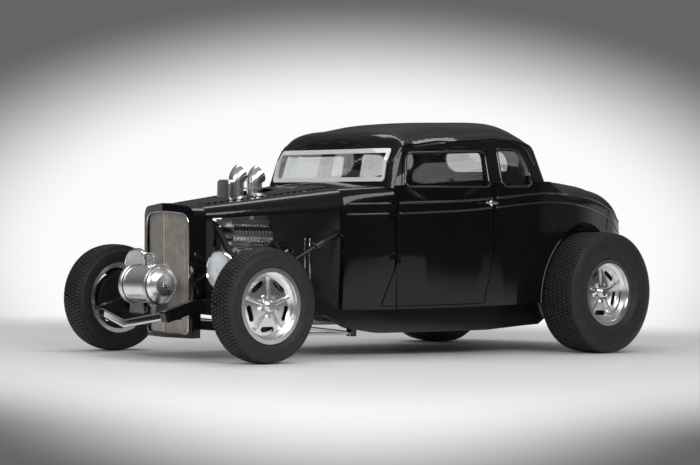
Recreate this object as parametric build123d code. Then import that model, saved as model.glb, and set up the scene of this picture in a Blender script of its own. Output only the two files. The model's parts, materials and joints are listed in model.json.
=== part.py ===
# An early-1930s five-window coupe built as a fenderless, chopped hot rod.
#
# Millimetres. +X is forward, +Y is the car's left, +Z is up, the floor is z = 0.
# Every piece is worked out in a chassis frame whose x = 0 is midway between the axles.
# The frame rails and the body are drawn level and then tipped nose down by RAKE.
# At the end all pieces move forward by ORIGIN_SHIFT, so that the origin lies under
# the middle of the whole car.
from build123d import *
import os
from math import cos, sin, radians

os.makedirs("parts", exist_ok=True)

# Driving dimensions of the running gear
WHEELBASE = 2692.0
FRONT_TRACK = 1402.0
REAR_TRACK = 1445.0
RAKE = 1.5
ORIGIN_SHIFT = 120.0

FRONT_TYRE_DIAMETER = 631.0
FRONT_TYRE_WIDTH = 165.0
REAR_TYRE_DIAMETER = 760.0
REAR_TYRE_WIDTH = 298.0
BEAD_SEAT_DIAMETER = 381.0
RIM_LIP_DIAMETER = 416.0
FRONT_RIM_WIDTH = 134.0
REAR_RIM_WIDTH = 226.0
RIM_WALL = 6.0
FRONT_FACE_INSET = 30.0
REAR_FACE_INSET = 74.0
SPINDLE_DIAMETER = 40.0
DRUM_DIAMETER = 290.0

KINGPIN_TRACK = 1180.0
KINGPIN_DIAMETER = 22.0
AXLE_BEAM_HEIGHT = 188.0
AXLE_BEAM_DEPTH = 52.0
AXLE_BEAM_THICKNESS = 46.0
REAR_TUBE_DIAMETER = 76.0

# Driving dimensions of the body, in the level body frame
SHELL = 40.0
ROOF_SHELL = 30.0
SHEET = 4.0
DOOR_GAP = 6.0
SILL_HEIGHT = 286.0
BELT_HEIGHT = 1002.0
DRIP_HEIGHT = 1290.0
ROOF_HEIGHT = 1407.0
ROOF_CROWN_RADIUS = 1500.0
COWL_FRONT = 493.0
DOOR_FRONT = 238.0
DOOR_REAR = -470.0
CAB_BACK = -1112.0
TAIL_END = -2003.0
HOOD_FRONT = 1370.0
GLASS = 5.0

# Fits
FIT = 0.3
PIN_FIT = 0.4
RUNNING_GAP = 1.5

FRONT_AXLE_X = WHEELBASE / 2
REAR_AXLE_X = -WHEELBASE / 2
FRONT_HUB_Z = FRONT_TYRE_DIAMETER / 2
REAR_HUB_Z = REAR_TYRE_DIAMETER / 2
KINGPIN_Y = KINGPIN_TRACK / 2

PIECES = {}


def rounded(rows):
    """A face from rows of u, v and the radius of the corner there."""
    points = [(u, v) for u, v, radius in rows]
    return make_face(FilletPolyline(*points, radius=[radius for u, v, radius in rows], close=True))


def side_prism(face, y0, y1):
    """Extrude a face drawn in x, z from y0 to y1."""
    return extrude(Plane.XZ.offset(-y1) * face, y1 - y0)


def front_prism(face, x0, x1):
    """Extrude a face drawn in y, z from x0 to x1."""
    return extrude(Plane.YZ.offset(x0) * face, x1 - x0)


def plan_prism(face, z0, z1):
    """Extrude a face drawn in x, y from z0 to z1."""
    return extrude(Plane.XY.offset(z0) * face, z1 - z0)


def block(x0, x1, y0, y1, z0, z1):
    """A box by its bounds."""
    return Pos((x0 + x1) / 2, (y0 + y1) / 2, (z0 + z1) / 2) * Box(x1 - x0, y1 - y0, z1 - z0)


def rod(start, end, radius):
    """A round bar between two points."""
    axis = Vector(*end) - Vector(*start)
    return extrude(Plane(origin=start, z_dir=axis) * Circle(radius), axis.length)


def turned(rows):
    """A solid of revolution about Y, from rows of y and radius."""
    face = make_face(Polyline(*rows, close=True))
    return revolve(Plane.YZ * face, Axis.Y)


def both_sides(shape):
    """The shape and its mirror on the other side of the car."""
    return [shape, mirror(shape, Plane.XZ)]


def mirrored(shape):
    return mirror(shape, Plane.XZ)


def raked(shape):
    return Rot(0, RAKE, 0) * shape


def raked_point(x, y, z):
    """A point of the level body frame, in the chassis frame."""
    turn = radians(RAKE)
    return (x * cos(turn) + z * sin(turn), y, -x * sin(turn) + z * cos(turn))


def keep(name, *shapes):
    """Name one piece, made of the solids of one or more shapes."""
    solids = [solid for shape in shapes for solid in shape.solids()]
    PIECES[name] = solids[0] if len(solids) == 1 else Compound(solids)


# Wheels and tyres

def tyre(diameter, width, rim_width):
    """A tyre as a turned ring that seats on the rim's beads."""
    half = width / 2
    bead = rim_width / 2 - RIM_WALL - FIT
    outer = diameter / 2
    seat = BEAD_SEAT_DIAMETER / 2 + FIT
    shoulder = 0.955 * outer
    rows = [
        (bead, seat),
        (bead, RIM_LIP_DIAMETER / 2 + 3),
        (half - 6, seat + 0.32 * (outer - seat)),
        (half, seat + 0.52 * (outer - seat)),
        (half - 3, seat + 0.72 * (outer - seat)),
        (0.86 * half, shoulder + 4),
        (0.66 * half, outer - 3),
        (0.3 * half, outer),
    ]
    return turned(rows + [(-y, radius) for y, radius in reversed(rows)])


def rim_barrel(width):
    """The rolled barrel and its two lips."""
    half = width / 2
    lip = RIM_LIP_DIAMETER / 2
    seat = BEAD_SEAT_DIAMETER / 2
    drop = seat - 20
    ledge = 32.0
    ramp = 12.0
    outside = [
        (half, lip),
        (half - RIM_WALL, lip),
        (half - RIM_WALL, seat),
        (half - ledge, seat),
        (half - ledge - ramp, drop),
    ]
    inside = [(half, seat - RIM_WALL), (half - ledge, seat - RIM_WALL), (half - ledge - ramp, drop - RIM_WALL)]
    ring = outside + [(-y, radius) for y, radius in reversed(outside)]
    ring += [(-y, radius) for y, radius in inside]
    ring += [(y, radius) for y, radius in reversed(inside)]
    return turned(ring)


SPOKES = 5
SLOT_RADIUS = 128.0
SLOT_LENGTH = 92.0
SLOT_HEIGHT = 30.0
LUG_CIRCLE = 57.0
LUG_RADIUS = 12.0
LUG_REACH = 18.0


def wheel(rim_width, face_inset):
    """Barrel, slotted centre with raised spokes, hub, cap and drum, outboard towards +Y."""
    half = rim_width / 2
    face = half - face_inset
    drop = BEAD_SEAT_DIAMETER / 2 - 20 - RIM_WALL
    centre = turned([(face + 6, 40), (face - 2, drop - 22), (face - 8, drop + 1), (face - 24, drop + 1),
                     (face - 16, drop - 22), (face - 10, 40)])
    slot = extrude(Plane.XZ.offset(-face - 40) * (Pos(0, SLOT_RADIUS) * SlotOverall(SLOT_LENGTH, SLOT_HEIGHT)), 90)
    foot_face = rounded([(-19, 30, 0), (19, 30, 0), (13, drop - 4, 8), (-13, drop - 4, 8)])
    ridge_face = rounded([(-7, 30, 0), (7, 30, 0), (4, drop - 16, 2), (-4, drop - 16, 2)])
    spoke = loft([Plane.XZ.offset(4 - face) * foot_face, Plane.XZ.offset(-face - 14) * ridge_face], ruled=True)
    slots = [Rot(0, 36 + 72 * k, 0) * slot for k in range(SPOKES)]
    spokes = [Rot(0, 72 * k, 0) * spoke for k in range(SPOKES)]
    lug_face = Pos(0, LUG_CIRCLE) * RegularPolygon(LUG_RADIUS, 6)
    lug = extrude(Plane.XZ.offset(-face - LUG_REACH) * lug_face, LUG_REACH + 6)
    lugs = [Rot(0, 36 + 72 * k, 0) * lug for k in range(SPOKES)]
    hub = turned([(face + 16, 0), (face + 16, 46), (face - 70, 46), (face - 70, 0)])
    cap = turned([(face + 34, 0), (face + 34, 22), (face + 27, 30), (face + 14, 32), (face + 14, 0)])
    drum_face = face - 40
    drum_radius = DRUM_DIAMETER / 2
    drum = turned([(drum_face, 30), (drum_face, drum_radius), (drum_face - 52, drum_radius),
                   (drum_face - 52, drum_radius - 8), (drum_face - 8, drum_radius - 8), (drum_face - 8, 30)])
    whole = rim_barrel(rim_width) + (centre - slots) + spokes + hub + cap + lugs + drum
    bore = SPINDLE_DIAMETER / 2 + PIN_FIT
    return whole - turned([(face - 80, 0), (face - 80, bore), (face - 8, bore), (face - 8, 0)])


def hub_depth(rim_width, face_inset):
    """How far the spindle reaches outboard of the wheel's middle plane."""
    return rim_width / 2 - face_inset - 8


front_wheel = wheel(FRONT_RIM_WIDTH, FRONT_FACE_INSET)
rear_wheel = wheel(REAR_RIM_WIDTH, REAR_FACE_INSET)
front_tyre = tyre(FRONT_TYRE_DIAMETER, FRONT_TYRE_WIDTH, FRONT_RIM_WIDTH)
rear_tyre = tyre(REAR_TYRE_DIAMETER, REAR_TYRE_WIDTH, REAR_RIM_WIDTH)

WHEEL_PLACES = [
    ("front", FRONT_AXLE_X, FRONT_TRACK / 2, FRONT_HUB_Z, front_wheel, front_tyre),
    ("rear", REAR_AXLE_X, REAR_TRACK / 2, REAR_HUB_Z, rear_wheel, rear_tyre),
]
for end, x, y, z, wheel_shape, tyre_shape in WHEEL_PLACES:
    keep("wheel_" + end + "_left", Pos(x, y, z) * wheel_shape)
    keep("wheel_" + end + "_right", Pos(x, -y, z) * mirrored(wheel_shape))
    keep("tyre_" + end + "_left", Pos(x, y, z) * tyre_shape)
    keep("tyre_" + end + "_right", Pos(x, -y, z) * tyre_shape)


# Frame rails, drawn level and tipped with the body

RAIL_THICKNESS = 50.0
RAIL_TOP = 284.0
RAIL_OUTLINE = [
    # x, z, corner radius
    (1722, 254, 14), (1527, 306, 300), (1180, 318, 200), (800, 300, 200), (610, 254, 160), (471, 180, 120),
    (270, 144, 200), (-569, 132, 400), (-867, 144, 200), (-1036, 148, 60), (-1136, 200, 80), (-1240, 330, 90),
    (-1300, 440, 70), (-1420, 462, 80), (-1560, 400, 90), (-1900, 370, 10), (-1900, 430, 10), (-1560, 488, 90),
    (-1420, 545, 70), (-1270, 545, 70), (-1150, 400, 80), (-1046, RAIL_TOP, 80), (530, RAIL_TOP, 120),
    (650, 366, 120), (900, 398, 300), (1180, 398, 300), (1531, 374, 300), (1738, 318, 14),
]
RAIL_PLAN = [
    # x, outer y
    (1760, 340), (1346, 345), (480, 420), (0, 508), (-400, 546), (-1000, 530), (-1300, 500), (-1560, 430),
    (-1920, 300),
]


def rail_half_width(x):
    """Outer y of the rail at x."""
    for (x0, y0), (x1, y1) in zip(RAIL_PLAN, RAIL_PLAN[1:]):
        if x1 <= x <= x0:
            return y0 + (y1 - y0) * (x - x0) / (x1 - x0)
    return RAIL_PLAN[-1][1]


rail_side = side_prism(rounded(RAIL_OUTLINE), 200, 640)
rail_ribbon = list(RAIL_PLAN) + [(x, y - RAIL_THICKNESS) for x, y in reversed(RAIL_PLAN)]
rail_left = rail_side & plan_prism(make_face(Polyline(*rail_ribbon, close=True)), 0, 700)

CROSS_X = FRONT_AXLE_X - 9
cross_half = rail_half_width(CROSS_X) - 30
spring_cross = block(CROSS_X - 36, CROSS_X + 36, -cross_half, cross_half, 332, 376)
gearbox_cross = block(120, 190, -rail_half_width(155) + 30, rail_half_width(155) - 30, 262, 288)
kick_cross = block(-1240, -1190, -rail_half_width(-1215) + 30, rail_half_width(-1215) - 30, 438, 468)
rear_spring_cross = block(-1450, -1380, -rail_half_width(-1415) + 30, rail_half_width(-1415) - 30, 505, 540)
tail_cross = rod((-1850, -300, 404), (-1850, 300, 404), 22)
tank_cross = block(1600, 1660, -310, 310, 268, 292)
frame_solid = rail_left + mirrored(rail_left)
for cross in (spring_cross, gearbox_cross, kick_cross, rear_spring_cross, tail_cross, tank_cross):
    frame_solid = frame_solid + cross
frame_solid = raked(frame_solid)

SPRING_TOP = 291.0
FRONT_SPRING_SEAT = block(FRONT_AXLE_X - 30, FRONT_AXLE_X + 30, -55, 55, SPRING_TOP, 320)
REAR_SPRING_X = REAR_AXLE_X - 62
REAR_SPRING_TOP = 541.0
rear_spring_seat = block(REAR_SPRING_X - 28, REAR_SPRING_X + 28, -55, 55, REAR_SPRING_TOP, 560)
HAIRPIN_Y = 395.0
HAIRPIN_REAR_X = 425.0
HAIRPIN_REAR_Z = 138.0
frame_solid = frame_solid + FRONT_SPRING_SEAT + rear_spring_seat
for side in (-1, 1):
    for ear in (-1, 1):
        y = side * HAIRPIN_Y + ear * 19
        frame_solid = frame_solid + block(HAIRPIN_REAR_X - 20, HAIRPIN_REAR_X + 20, y - 3, y + 3, 118, 185)
    frame_solid = frame_solid + rod((HAIRPIN_REAR_X, side * HAIRPIN_Y - 20, HAIRPIN_REAR_Z),
                                    (HAIRPIN_REAR_X, side * HAIRPIN_Y + 20, HAIRPIN_REAR_Z), 7)
REAR_ROD_Y = 440.0
REAR_ROD_X = -800.0
REAR_ROD_Z = 215.0
for side in (-1, 1):
    start = (REAR_ROD_X, side * (REAR_ROD_Y - 18), REAR_ROD_Z)
    frame_solid = frame_solid + rod(start, (REAR_ROD_X, side * 500, REAR_ROD_Z), 9)
keep("frame_rails", frame_solid)


# Polished V bar between the front horns

BAR_END = (1702.0, 291.5, 236.0)
BAR_APEX = (1757.0, 0.0, 205.0)
bar_axis = Vector(*BAR_END) - Vector(*BAR_APEX)
bar_plane = Plane(origin=Vector(*BAR_APEX) - bar_axis * 0.2, z_dir=bar_axis, x_dir=(0, 0, 1))
bar_leg = extrude(bar_plane * RectangleRounded(26, 34, 6), bar_axis.length * 1.4)
bar_leg = bar_leg & block(1500, 1900, 0, BAR_END[1], 0, 500)
keep("front_bar", bar_leg + mirrored(bar_leg) - frame_solid)


# Fuel tank in front of the grille, and the two machined rings that carry it

TANK_X = 1612.0
TANK_Z = 412.0
TANK_RADIUS = 105.0
TANK_HALF = 170.0
RING_Y = 111.0
RING_WIDTH = 22.0
RING_RADIUS = 117.0
dish = TANK_HALF - 26
tank_profile = [(-TANK_HALF, 0), (-TANK_HALF, 30), (-TANK_HALF + 6, 66), (-dish, 98), (-dish + 10, TANK_RADIUS)]
tank_rows = tank_profile + [(-y, radius) for y, radius in reversed(tank_profile)]
tank = Pos(TANK_X, 0, TANK_Z) * turned(tank_rows)
filler = rod((TANK_X - 8, 0, TANK_Z + TANK_RADIUS - 6), (TANK_X - 8, 0, TANK_Z + TANK_RADIUS + 34), 30)
filler = filler + rod((TANK_X - 8, 0, TANK_Z + TANK_RADIUS + 34), (TANK_X - 8, 0, TANK_Z + TANK_RADIUS + 52), 37)
drain = rod((TANK_X, 40, TANK_Z - TANK_RADIUS + 4), (TANK_X, 40, TANK_Z - TANK_RADIUS - 16), 12)
keep("fuel_tank", tank + filler + drain)

cross_top = raked_point(1630, 0, 292)[2]
ring_shapes = []
for side in (-1, 1):
    y0 = side * RING_Y - RING_WIDTH / 2
    y1 = side * RING_Y + RING_WIDTH / 2
    leg_rows = [(TANK_X - 52, cross_top - 10, 0), (TANK_X + 36, cross_top - 10, 0), (TANK_X + 28, TANK_Z - 60, 0),
                (TANK_X - 40, TANK_Z - 60, 0)]
    ring = side_prism(Pos(TANK_X, TANK_Z) * Circle(RING_RADIUS), y0, y1)
    ring = ring + side_prism(rounded(leg_rows), y0, y1)
    ring = ring - side_prism(Pos(TANK_X, TANK_Z) * Circle(TANK_RADIUS + FIT), y0 - 1, y1 + 1)
    ring_shapes.append(ring - frame_solid)
keep("tank_rings", *ring_shapes)


# Front axle with its perches

boss = rod((FRONT_AXLE_X, KINGPIN_Y, 262), (FRONT_AXLE_X, KINGPIN_Y, 368), 26)
half_depth = AXLE_BEAM_DEPTH / 2
beam_low = AXLE_BEAM_HEIGHT - half_depth
beam_high = AXLE_BEAM_HEIGHT + half_depth
beam_rows = [
    (0, beam_low, 0), (440, beam_low, 90), (542, 277, 20), (KINGPIN_Y - 14, 277, 0), (KINGPIN_Y - 14, 352, 0),
    (520, 334, 50), (430, beam_high, 70), (0, beam_high, 0),
]
beam_half = AXLE_BEAM_THICKNESS / 2
beam = front_prism(rounded(beam_rows), FRONT_AXLE_X - beam_half, FRONT_AXLE_X + beam_half)
pocket_low = beam_low + 10
pocket_high = beam_high - 10
pocket = rounded([(-420, pocket_low, 8), (420, pocket_low, 8), (420, pocket_high, 8), (-420, pocket_high, 8)])
PERCH_Y = 430.0
PERCH_TOP = beam_high + 16
perch = block(FRONT_AXLE_X - 20, FRONT_AXLE_X + 20, PERCH_Y - 15, PERCH_Y + 15, beam_high - 6, PERCH_TOP)
bore = rod((FRONT_AXLE_X, KINGPIN_Y, 250), (FRONT_AXLE_X, KINGPIN_Y, 380), KINGPIN_DIAMETER / 2 + PIN_FIT)
half_axle = beam + perch + boss - bore
front_axle = half_axle + mirrored(half_axle)
front_axle = front_axle - front_prism(pocket, FRONT_AXLE_X + beam_half - 12, FRONT_AXLE_X + 60)
front_axle = front_axle - front_prism(pocket, FRONT_AXLE_X - 60, FRONT_AXLE_X - beam_half + 12)
keep("front_axle", front_axle)


# Transverse leaf springs

def leaf_pack(x, top, span, low_eye, leaves, width, thickness):
    """An arched stack: the longest leaf lies lowest and ends in eyes."""
    pack = None
    main_bottom = top - leaves * thickness
    sag = main_bottom - low_eye
    radius = (span * span + sag * sag) / (2 * sag)
    for leaf in range(leaves):
        reach = span * (1 - leaf / (leaves + 1))
        outer = radius + (leaf + 1) * thickness
        inner = radius + leaf * thickness
        ring = Pos(0, main_bottom - radius) * (Circle(outer) - Circle(inner))
        band = ring & (Pos(0, top) * Rectangle(2 * reach, 400))
        solid = front_prism(band, x - width / 2, x + width / 2)
        pack = solid if pack is None else pack + solid
    for side in (-1, 1):
        pack = pack + front_prism(Pos(side * span, low_eye + 2) * Circle(13), x - width / 2, x + width / 2)
    return pack


FRONT_EYE_Z = PERCH_TOP + 11
front_spring = leaf_pack(FRONT_AXLE_X, SPRING_TOP, PERCH_Y, FRONT_EYE_Z, 6, 45, 7)
REAR_PERCH_Y = 400.0
REAR_PERCH_TOP = REAR_HUB_Z + REAR_TUBE_DIAMETER / 2 + 26
rear_spring = leaf_pack(REAR_SPRING_X, REAR_SPRING_TOP, REAR_PERCH_Y, REAR_PERCH_TOP + 11, 7, 56, 8)
keep("leaf_springs", front_spring - front_axle, rear_spring)


# Rear axle, brake backing plates and the torque tube

REAR_PLATE_Y = REAR_TRACK / 2 + REAR_RIM_WIDTH / 2 - REAR_FACE_INSET - 40 - 52 - 4
tube_radius = REAR_TUBE_DIAMETER / 2
housing_rows = [
    (0, 0), (0, 98), (36, 94), (66, 76), (92, 50), (130, tube_radius), (REAR_PLATE_Y - 8, tube_radius),
    (REAR_PLATE_Y - 8, 136), (REAR_PLATE_Y, 136), (REAR_PLATE_Y, SPINDLE_DIAMETER / 2),
    (REAR_TRACK / 2 + hub_depth(REAR_RIM_WIDTH, REAR_FACE_INSET) - 2, SPINDLE_DIAMETER / 2),
    (REAR_TRACK / 2 + hub_depth(REAR_RIM_WIDTH, REAR_FACE_INSET) - 2, 0),
]
half_housing = Pos(REAR_AXLE_X, 0, REAR_HUB_Z) * turned(housing_rows)
rear_perch = block(REAR_SPRING_X - 22, REAR_AXLE_X - 20, REAR_PERCH_Y - 16, REAR_PERCH_Y + 16,
                   REAR_HUB_Z + 6, REAR_PERCH_TOP)
rod_plate_face = rounded([(REAR_AXLE_X - 40, REAR_HUB_Z + 60, 16), (REAR_AXLE_X + 30, REAR_HUB_Z + 60, 16),
                          (REAR_AXLE_X + 62, 196, 16), (REAR_AXLE_X + 10, 196, 16)])
rod_plate = side_prism(rod_plate_face, REAR_ROD_Y - 24, REAR_ROD_Y - 16)
rear_axle = half_housing + rear_perch + rod_plate
rear_axle = rear_axle + mirrored(rear_axle)
GEARBOX_TAIL_X = 150.0
GEARBOX_Z = 372.0
torque_tube = rod((REAR_AXLE_X + 100, 0, REAR_HUB_Z), (GEARBOX_TAIL_X - 1, 0, GEARBOX_Z), 34)
pinion_nose = rod((REAR_AXLE_X + 60, 0, REAR_HUB_Z), (REAR_AXLE_X + 240, 0, REAR_HUB_Z - 1), 62)
keep("rear_axle", rear_axle + torque_tube + pinion_nose)


# Radius rods

EYE_RADIUS = 16.0
BAR_RADIUS = 9.0
hairpin = rod((HAIRPIN_REAR_X, HAIRPIN_Y - 15.5, HAIRPIN_REAR_Z),
              (HAIRPIN_REAR_X, HAIRPIN_Y + 15.5, HAIRPIN_REAR_Z), EYE_RADIUS)
wing_x = FRONT_AXLE_X - AXLE_BEAM_THICKNESS / 2
wing = block(wing_x - 10, wing_x, HAIRPIN_Y - 14, HAIRPIN_Y + 14, AXLE_BEAM_HEIGHT - 58, AXLE_BEAM_HEIGHT + 58)
for spread in (-44, 44):
    hairpin = hairpin + rod((HAIRPIN_REAR_X + 14, HAIRPIN_Y, HAIRPIN_REAR_Z + spread / 40),
                            (wing_x - 5, HAIRPIN_Y, AXLE_BEAM_HEIGHT + spread), BAR_RADIUS)
hairpin = hairpin + wing
hairpin = hairpin - rod((HAIRPIN_REAR_X, HAIRPIN_Y - 30, HAIRPIN_REAR_Z),
                        (HAIRPIN_REAR_X, HAIRPIN_Y + 30, HAIRPIN_REAR_Z), 7 + FIT)

rear_rod_y0 = REAR_ROD_Y - 16
rear_rod = rod((REAR_ROD_X, rear_rod_y0, REAR_ROD_Z), (REAR_ROD_X, rear_rod_y0 + 28, REAR_ROD_Z), 17)
for x, z in ((REAR_AXLE_X + 35, 215), (REAR_AXLE_X + 2, REAR_HUB_Z + 44)):
    rear_rod = rear_rod + rod((REAR_ROD_X - 10, REAR_ROD_Y - 3, REAR_ROD_Z), (x, REAR_ROD_Y - 3, z), 11)
    rear_rod = rear_rod + rod((x, rear_rod_y0, z), (x, rear_rod_y0 + 24, z), 17)
rear_rod = rear_rod - rod((REAR_ROD_X, REAR_ROD_Y - 40, REAR_ROD_Z), (REAR_ROD_X, REAR_ROD_Y + 40, REAR_ROD_Z), 9 + FIT)
keep("radius_rods", *both_sides(hairpin), *both_sides(rear_rod - half_housing))


# Steering: knuckles, tie rod, pitman arm, drag link

ARM_LENGTH = 130.0
LINK_ARM = 190.0
TIE_Z = 190.0
PIN_RADIUS = 7.0
EAR = 20.0
PITMAN_X = FRONT_AXLE_X - 62
PITMAN_Y = 235.0
PLATE_Y = FRONT_TRACK / 2 + FRONT_RIM_WIDTH / 2 - FRONT_FACE_INSET - 40 - 52 - 6


def knuckle(arm):
    """Ears on the kingpin, backing plate, spindle and a steering arm of the given length."""
    body = rod((FRONT_AXLE_X, KINGPIN_Y, 368 + RUNNING_GAP), (FRONT_AXLE_X, KINGPIN_Y, 368 + EAR), 25)
    body = body + rod((FRONT_AXLE_X, KINGPIN_Y, 262 - RUNNING_GAP), (FRONT_AXLE_X, KINGPIN_Y, 262 - EAR), 25)
    body = body + rod((FRONT_AXLE_X, KINGPIN_Y, 262 - EAR), (FRONT_AXLE_X, KINGPIN_Y, 368 + EAR), KINGPIN_DIAMETER / 2)
    body = body + block(FRONT_AXLE_X - 25, FRONT_AXLE_X + 25, KINGPIN_Y + 28, PLATE_Y + 1, 262 - EAR, 368 + EAR)
    for z0, z1 in ((262 - EAR, 262 - RUNNING_GAP), (368 + RUNNING_GAP, 368 + EAR)):
        body = body + block(FRONT_AXLE_X - 25, FRONT_AXLE_X + 25, KINGPIN_Y, KINGPIN_Y + 30, z0, z1)
    plate = rod((FRONT_AXLE_X, PLATE_Y, FRONT_HUB_Z), (FRONT_AXLE_X, PLATE_Y + 5, FRONT_HUB_Z), 138)
    reach = FRONT_TRACK / 2 + hub_depth(FRONT_RIM_WIDTH, FRONT_FACE_INSET) - 2
    spindle = rod((FRONT_AXLE_X, PLATE_Y, FRONT_HUB_Z), (FRONT_AXLE_X, reach, FRONT_HUB_Z), SPINDLE_DIAMETER / 2)
    arm_z = 262 - EAR
    arm_face = rounded([(FRONT_AXLE_X, KINGPIN_Y + 18, 0), (FRONT_AXLE_X, KINGPIN_Y - 20, 0),
                        (FRONT_AXLE_X - arm - 14, KINGPIN_Y - 14, 12), (FRONT_AXLE_X - arm - 14, KINGPIN_Y + 12, 12)])
    body = body + plate + spindle + plan_prism(arm_face, arm_z, arm_z + 14)
    pin_x = FRONT_AXLE_X - ARM_LENGTH
    body = body + rod((pin_x, KINGPIN_Y, arm_z + 2), (pin_x, KINGPIN_Y, TIE_Z - 15), PIN_RADIUS)
    if arm > 150:
        link_x = FRONT_AXLE_X - LINK_ARM
        body = body + rod((link_x, KINGPIN_Y, arm_z + 2), (link_x, KINGPIN_Y, TIE_Z - 15), PIN_RADIUS)
    return body


keep("knuckle_left", knuckle(ARM_LENGTH))
keep("knuckle_right", mirrored(knuckle(LINK_ARM)))


def link_between(start, end, radius):
    """A bar with an upright eye at each end."""
    bar = rod(start, end, radius)
    for x, y, z in (start, end):
        bar = bar + rod((x, y, z - 12), (x, y, z + 12), 17)
    for x, y, z in (start, end):
        bar = bar - rod((x, y, z - 20), (x, y, z + 20), PIN_RADIUS + PIN_FIT)
    return bar


tie_x = FRONT_AXLE_X - ARM_LENGTH
keep("tie_rod", link_between((tie_x, KINGPIN_Y, TIE_Z), (tie_x, -KINGPIN_Y, TIE_Z), 11))
link_x = FRONT_AXLE_X - LINK_ARM
pitman_pin = (PITMAN_X - LINK_ARM, PITMAN_Y, TIE_Z)
keep("drag_link", link_between(pitman_pin, (link_x, -KINGPIN_Y, TIE_Z), 11))

PITMAN_Z = 222.0
arm_face = rounded([(PITMAN_X + 24, PITMAN_Y - 22, 18), (PITMAN_X + 24, PITMAN_Y + 22, 18),
                    (pitman_pin[0] - 16, PITMAN_Y + 14, 12), (pitman_pin[0] - 16, PITMAN_Y - 14, 12)])
pitman = plan_prism(arm_face, PITMAN_Z, PITMAN_Z + 14)
pitman = pitman + rod((PITMAN_X, PITMAN_Y, PITMAN_Z), (PITMAN_X, PITMAN_Y, 300), 14)
pitman = pitman + rod((pitman_pin[0], PITMAN_Y, PITMAN_Z + 2), (pitman_pin[0], PITMAN_Y, TIE_Z - 15), PIN_RADIUS)
keep("pitman_arm", pitman)

WHEEL_CENTRE = (85.0, 350.0, 897.0)
BOX_INPUT = (PITMAN_X - 70, PITMAN_Y + 24, 340.0)
JOINT = (640.0, 340.0, 655.0)
box = block(PITMAN_X - 50, PITMAN_X + 21, PITMAN_Y - 40, 296, 250, 376)
box = box - rod((PITMAN_X, PITMAN_Y, 240), (PITMAN_X, PITMAN_Y, 302), 14 + PIN_FIT)
COLUMN_RADIUS = 20.0
JACKET_RADIUS = 27.0
JACKET_LENGTH = 260.0
HUB_BACK = 62.0
NOSE_RADIUS = 12.0
NOSE_LENGTH = 40.0
column_axis = (Vector(*WHEEL_CENTRE) - Vector(*JOINT)).normalized()
column_length = (Vector(*WHEEL_CENTRE) - Vector(*JOINT)).length - HUB_BACK
jacket_foot = column_length - JACKET_LENGTH
column_rows = [(0, 0), (COLUMN_RADIUS, 0), (COLUMN_RADIUS, jacket_foot), (JACKET_RADIUS, jacket_foot),
               (JACKET_RADIUS, column_length), (NOSE_RADIUS, column_length), (NOSE_RADIUS, column_length + NOSE_LENGTH),
               (0, column_length + NOSE_LENGTH)]
column = revolve(Plane.XZ * make_face(Polyline(*column_rows, close=True)), Axis.Z)
column = Plane(origin=JOINT, z_dir=tuple(column_axis)) * column
shaft_axis = (Vector(*BOX_INPUT) - Vector(*JOINT)).normalized()
column = column + rod(tuple(Vector(*JOINT) - shaft_axis * 22), tuple(Vector(*JOINT) + shaft_axis * 34), 26)
column = column + rod(tuple(Vector(*JOINT) - shaft_axis * 12), BOX_INPUT, 10)
column = column + rod(BOX_INPUT, (PITMAN_X - 40, PITMAN_Y + 20, 330), 18)
steering_column = (column + box) - frame_solid

STEERING_RADIUS = 190.0
steering_plane = Plane(origin=WHEEL_CENTRE, z_dir=tuple(column_axis))
steering_rim = steering_plane * Torus(STEERING_RADIUS - 12, 12)
steering_hub = steering_plane * (Pos(0, 0, -26) * Cylinder(34, 66))
hub_bore_depth = NOSE_LENGTH + RUNNING_GAP - (HUB_BACK - 59)
hub_bore = Pos(0, 0, -59 + hub_bore_depth / 2) * Cylinder(NOSE_RADIUS + PIN_FIT, hub_bore_depth)
steering_hub = steering_hub - steering_plane * hub_bore
flat_spoke = Pos(STEERING_RADIUS / 2, 0, -6) * Box(STEERING_RADIUS - 20, 26, 7)
steering_spokes = [steering_plane * (Rot(0, 0, 90 + 120 * k) * flat_spoke) for k in range(3)]
keep("steering_wheel", steering_hub + steering_rim + steering_spokes)
keep("steering_column", steering_column)


# Body volumes, each a function of how far it is drawn in from the outer skin

def plan_outline(rows, inset):
    """Half a plan outline as rows of x, y and corner radius, closed over the middle line and drawn in."""
    left = [(x, y, radius) for x, y, radius in rows]
    right = [(x, -y, radius) for x, y, radius in reversed(rows)]
    face = rounded(left + right)
    return offset(face, amount=-inset) if inset else face


LOWER_PLAN = [
    # x, y, corner radius
    (243, 588, 0), (-60, 655, 1500), (-470, 692, 1500), (-900, 664, 1800), (-1400, 604, 1500),
    (-1790, 500, 500), (TAIL_END, 400, 240),
]
GREENHOUSE_FOOT = [(276, 548, 60), (190, 596, 220), (-470, 688, 1500), (-860, 656, 900), (CAB_BACK, 596, 190)]
GREENHOUSE_HEAD = [(196, 500, 110), (-60, 575, 900), (-470, 616, 1500), (-790, 598, 600), (CAB_BACK + 101, 548, 185)]
DECK_SIDE = [
    # x, z, corner radius
    (243, 200, 0), (243, 1012, 0), (CAB_BACK + 60, 1042, 0), (-1300, 1040, 400), (-1560, 1016, 600), (-1800, 955, 400),
    (-1950, 848, 300), (TAIL_END - 3, 700, 300), (TAIL_END + 6, 480, 200), (TAIL_END + 60, 330, 60),
    (TAIL_END + 174, 200, 0),
]
ROOF_SIDE = [
    # x, z, corner radius
    (300, -80, 0), (300, 1180, 0), (226, 1236, 30), (150, 1338, 120), (-250, 1404, 1200), (-760, 1418, 700),
    (-965, 1372, 190), (-1040, 1180, 0), (-1200, 1000, 0), (-1200, -80, 0),
]


def between(lower, z0, upper, z1):
    """A ruled loft between two flat outlines."""
    return loft([Plane.XY.offset(z0) * lower, Plane.XY.offset(z1) * upper], ruled=True)


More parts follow.
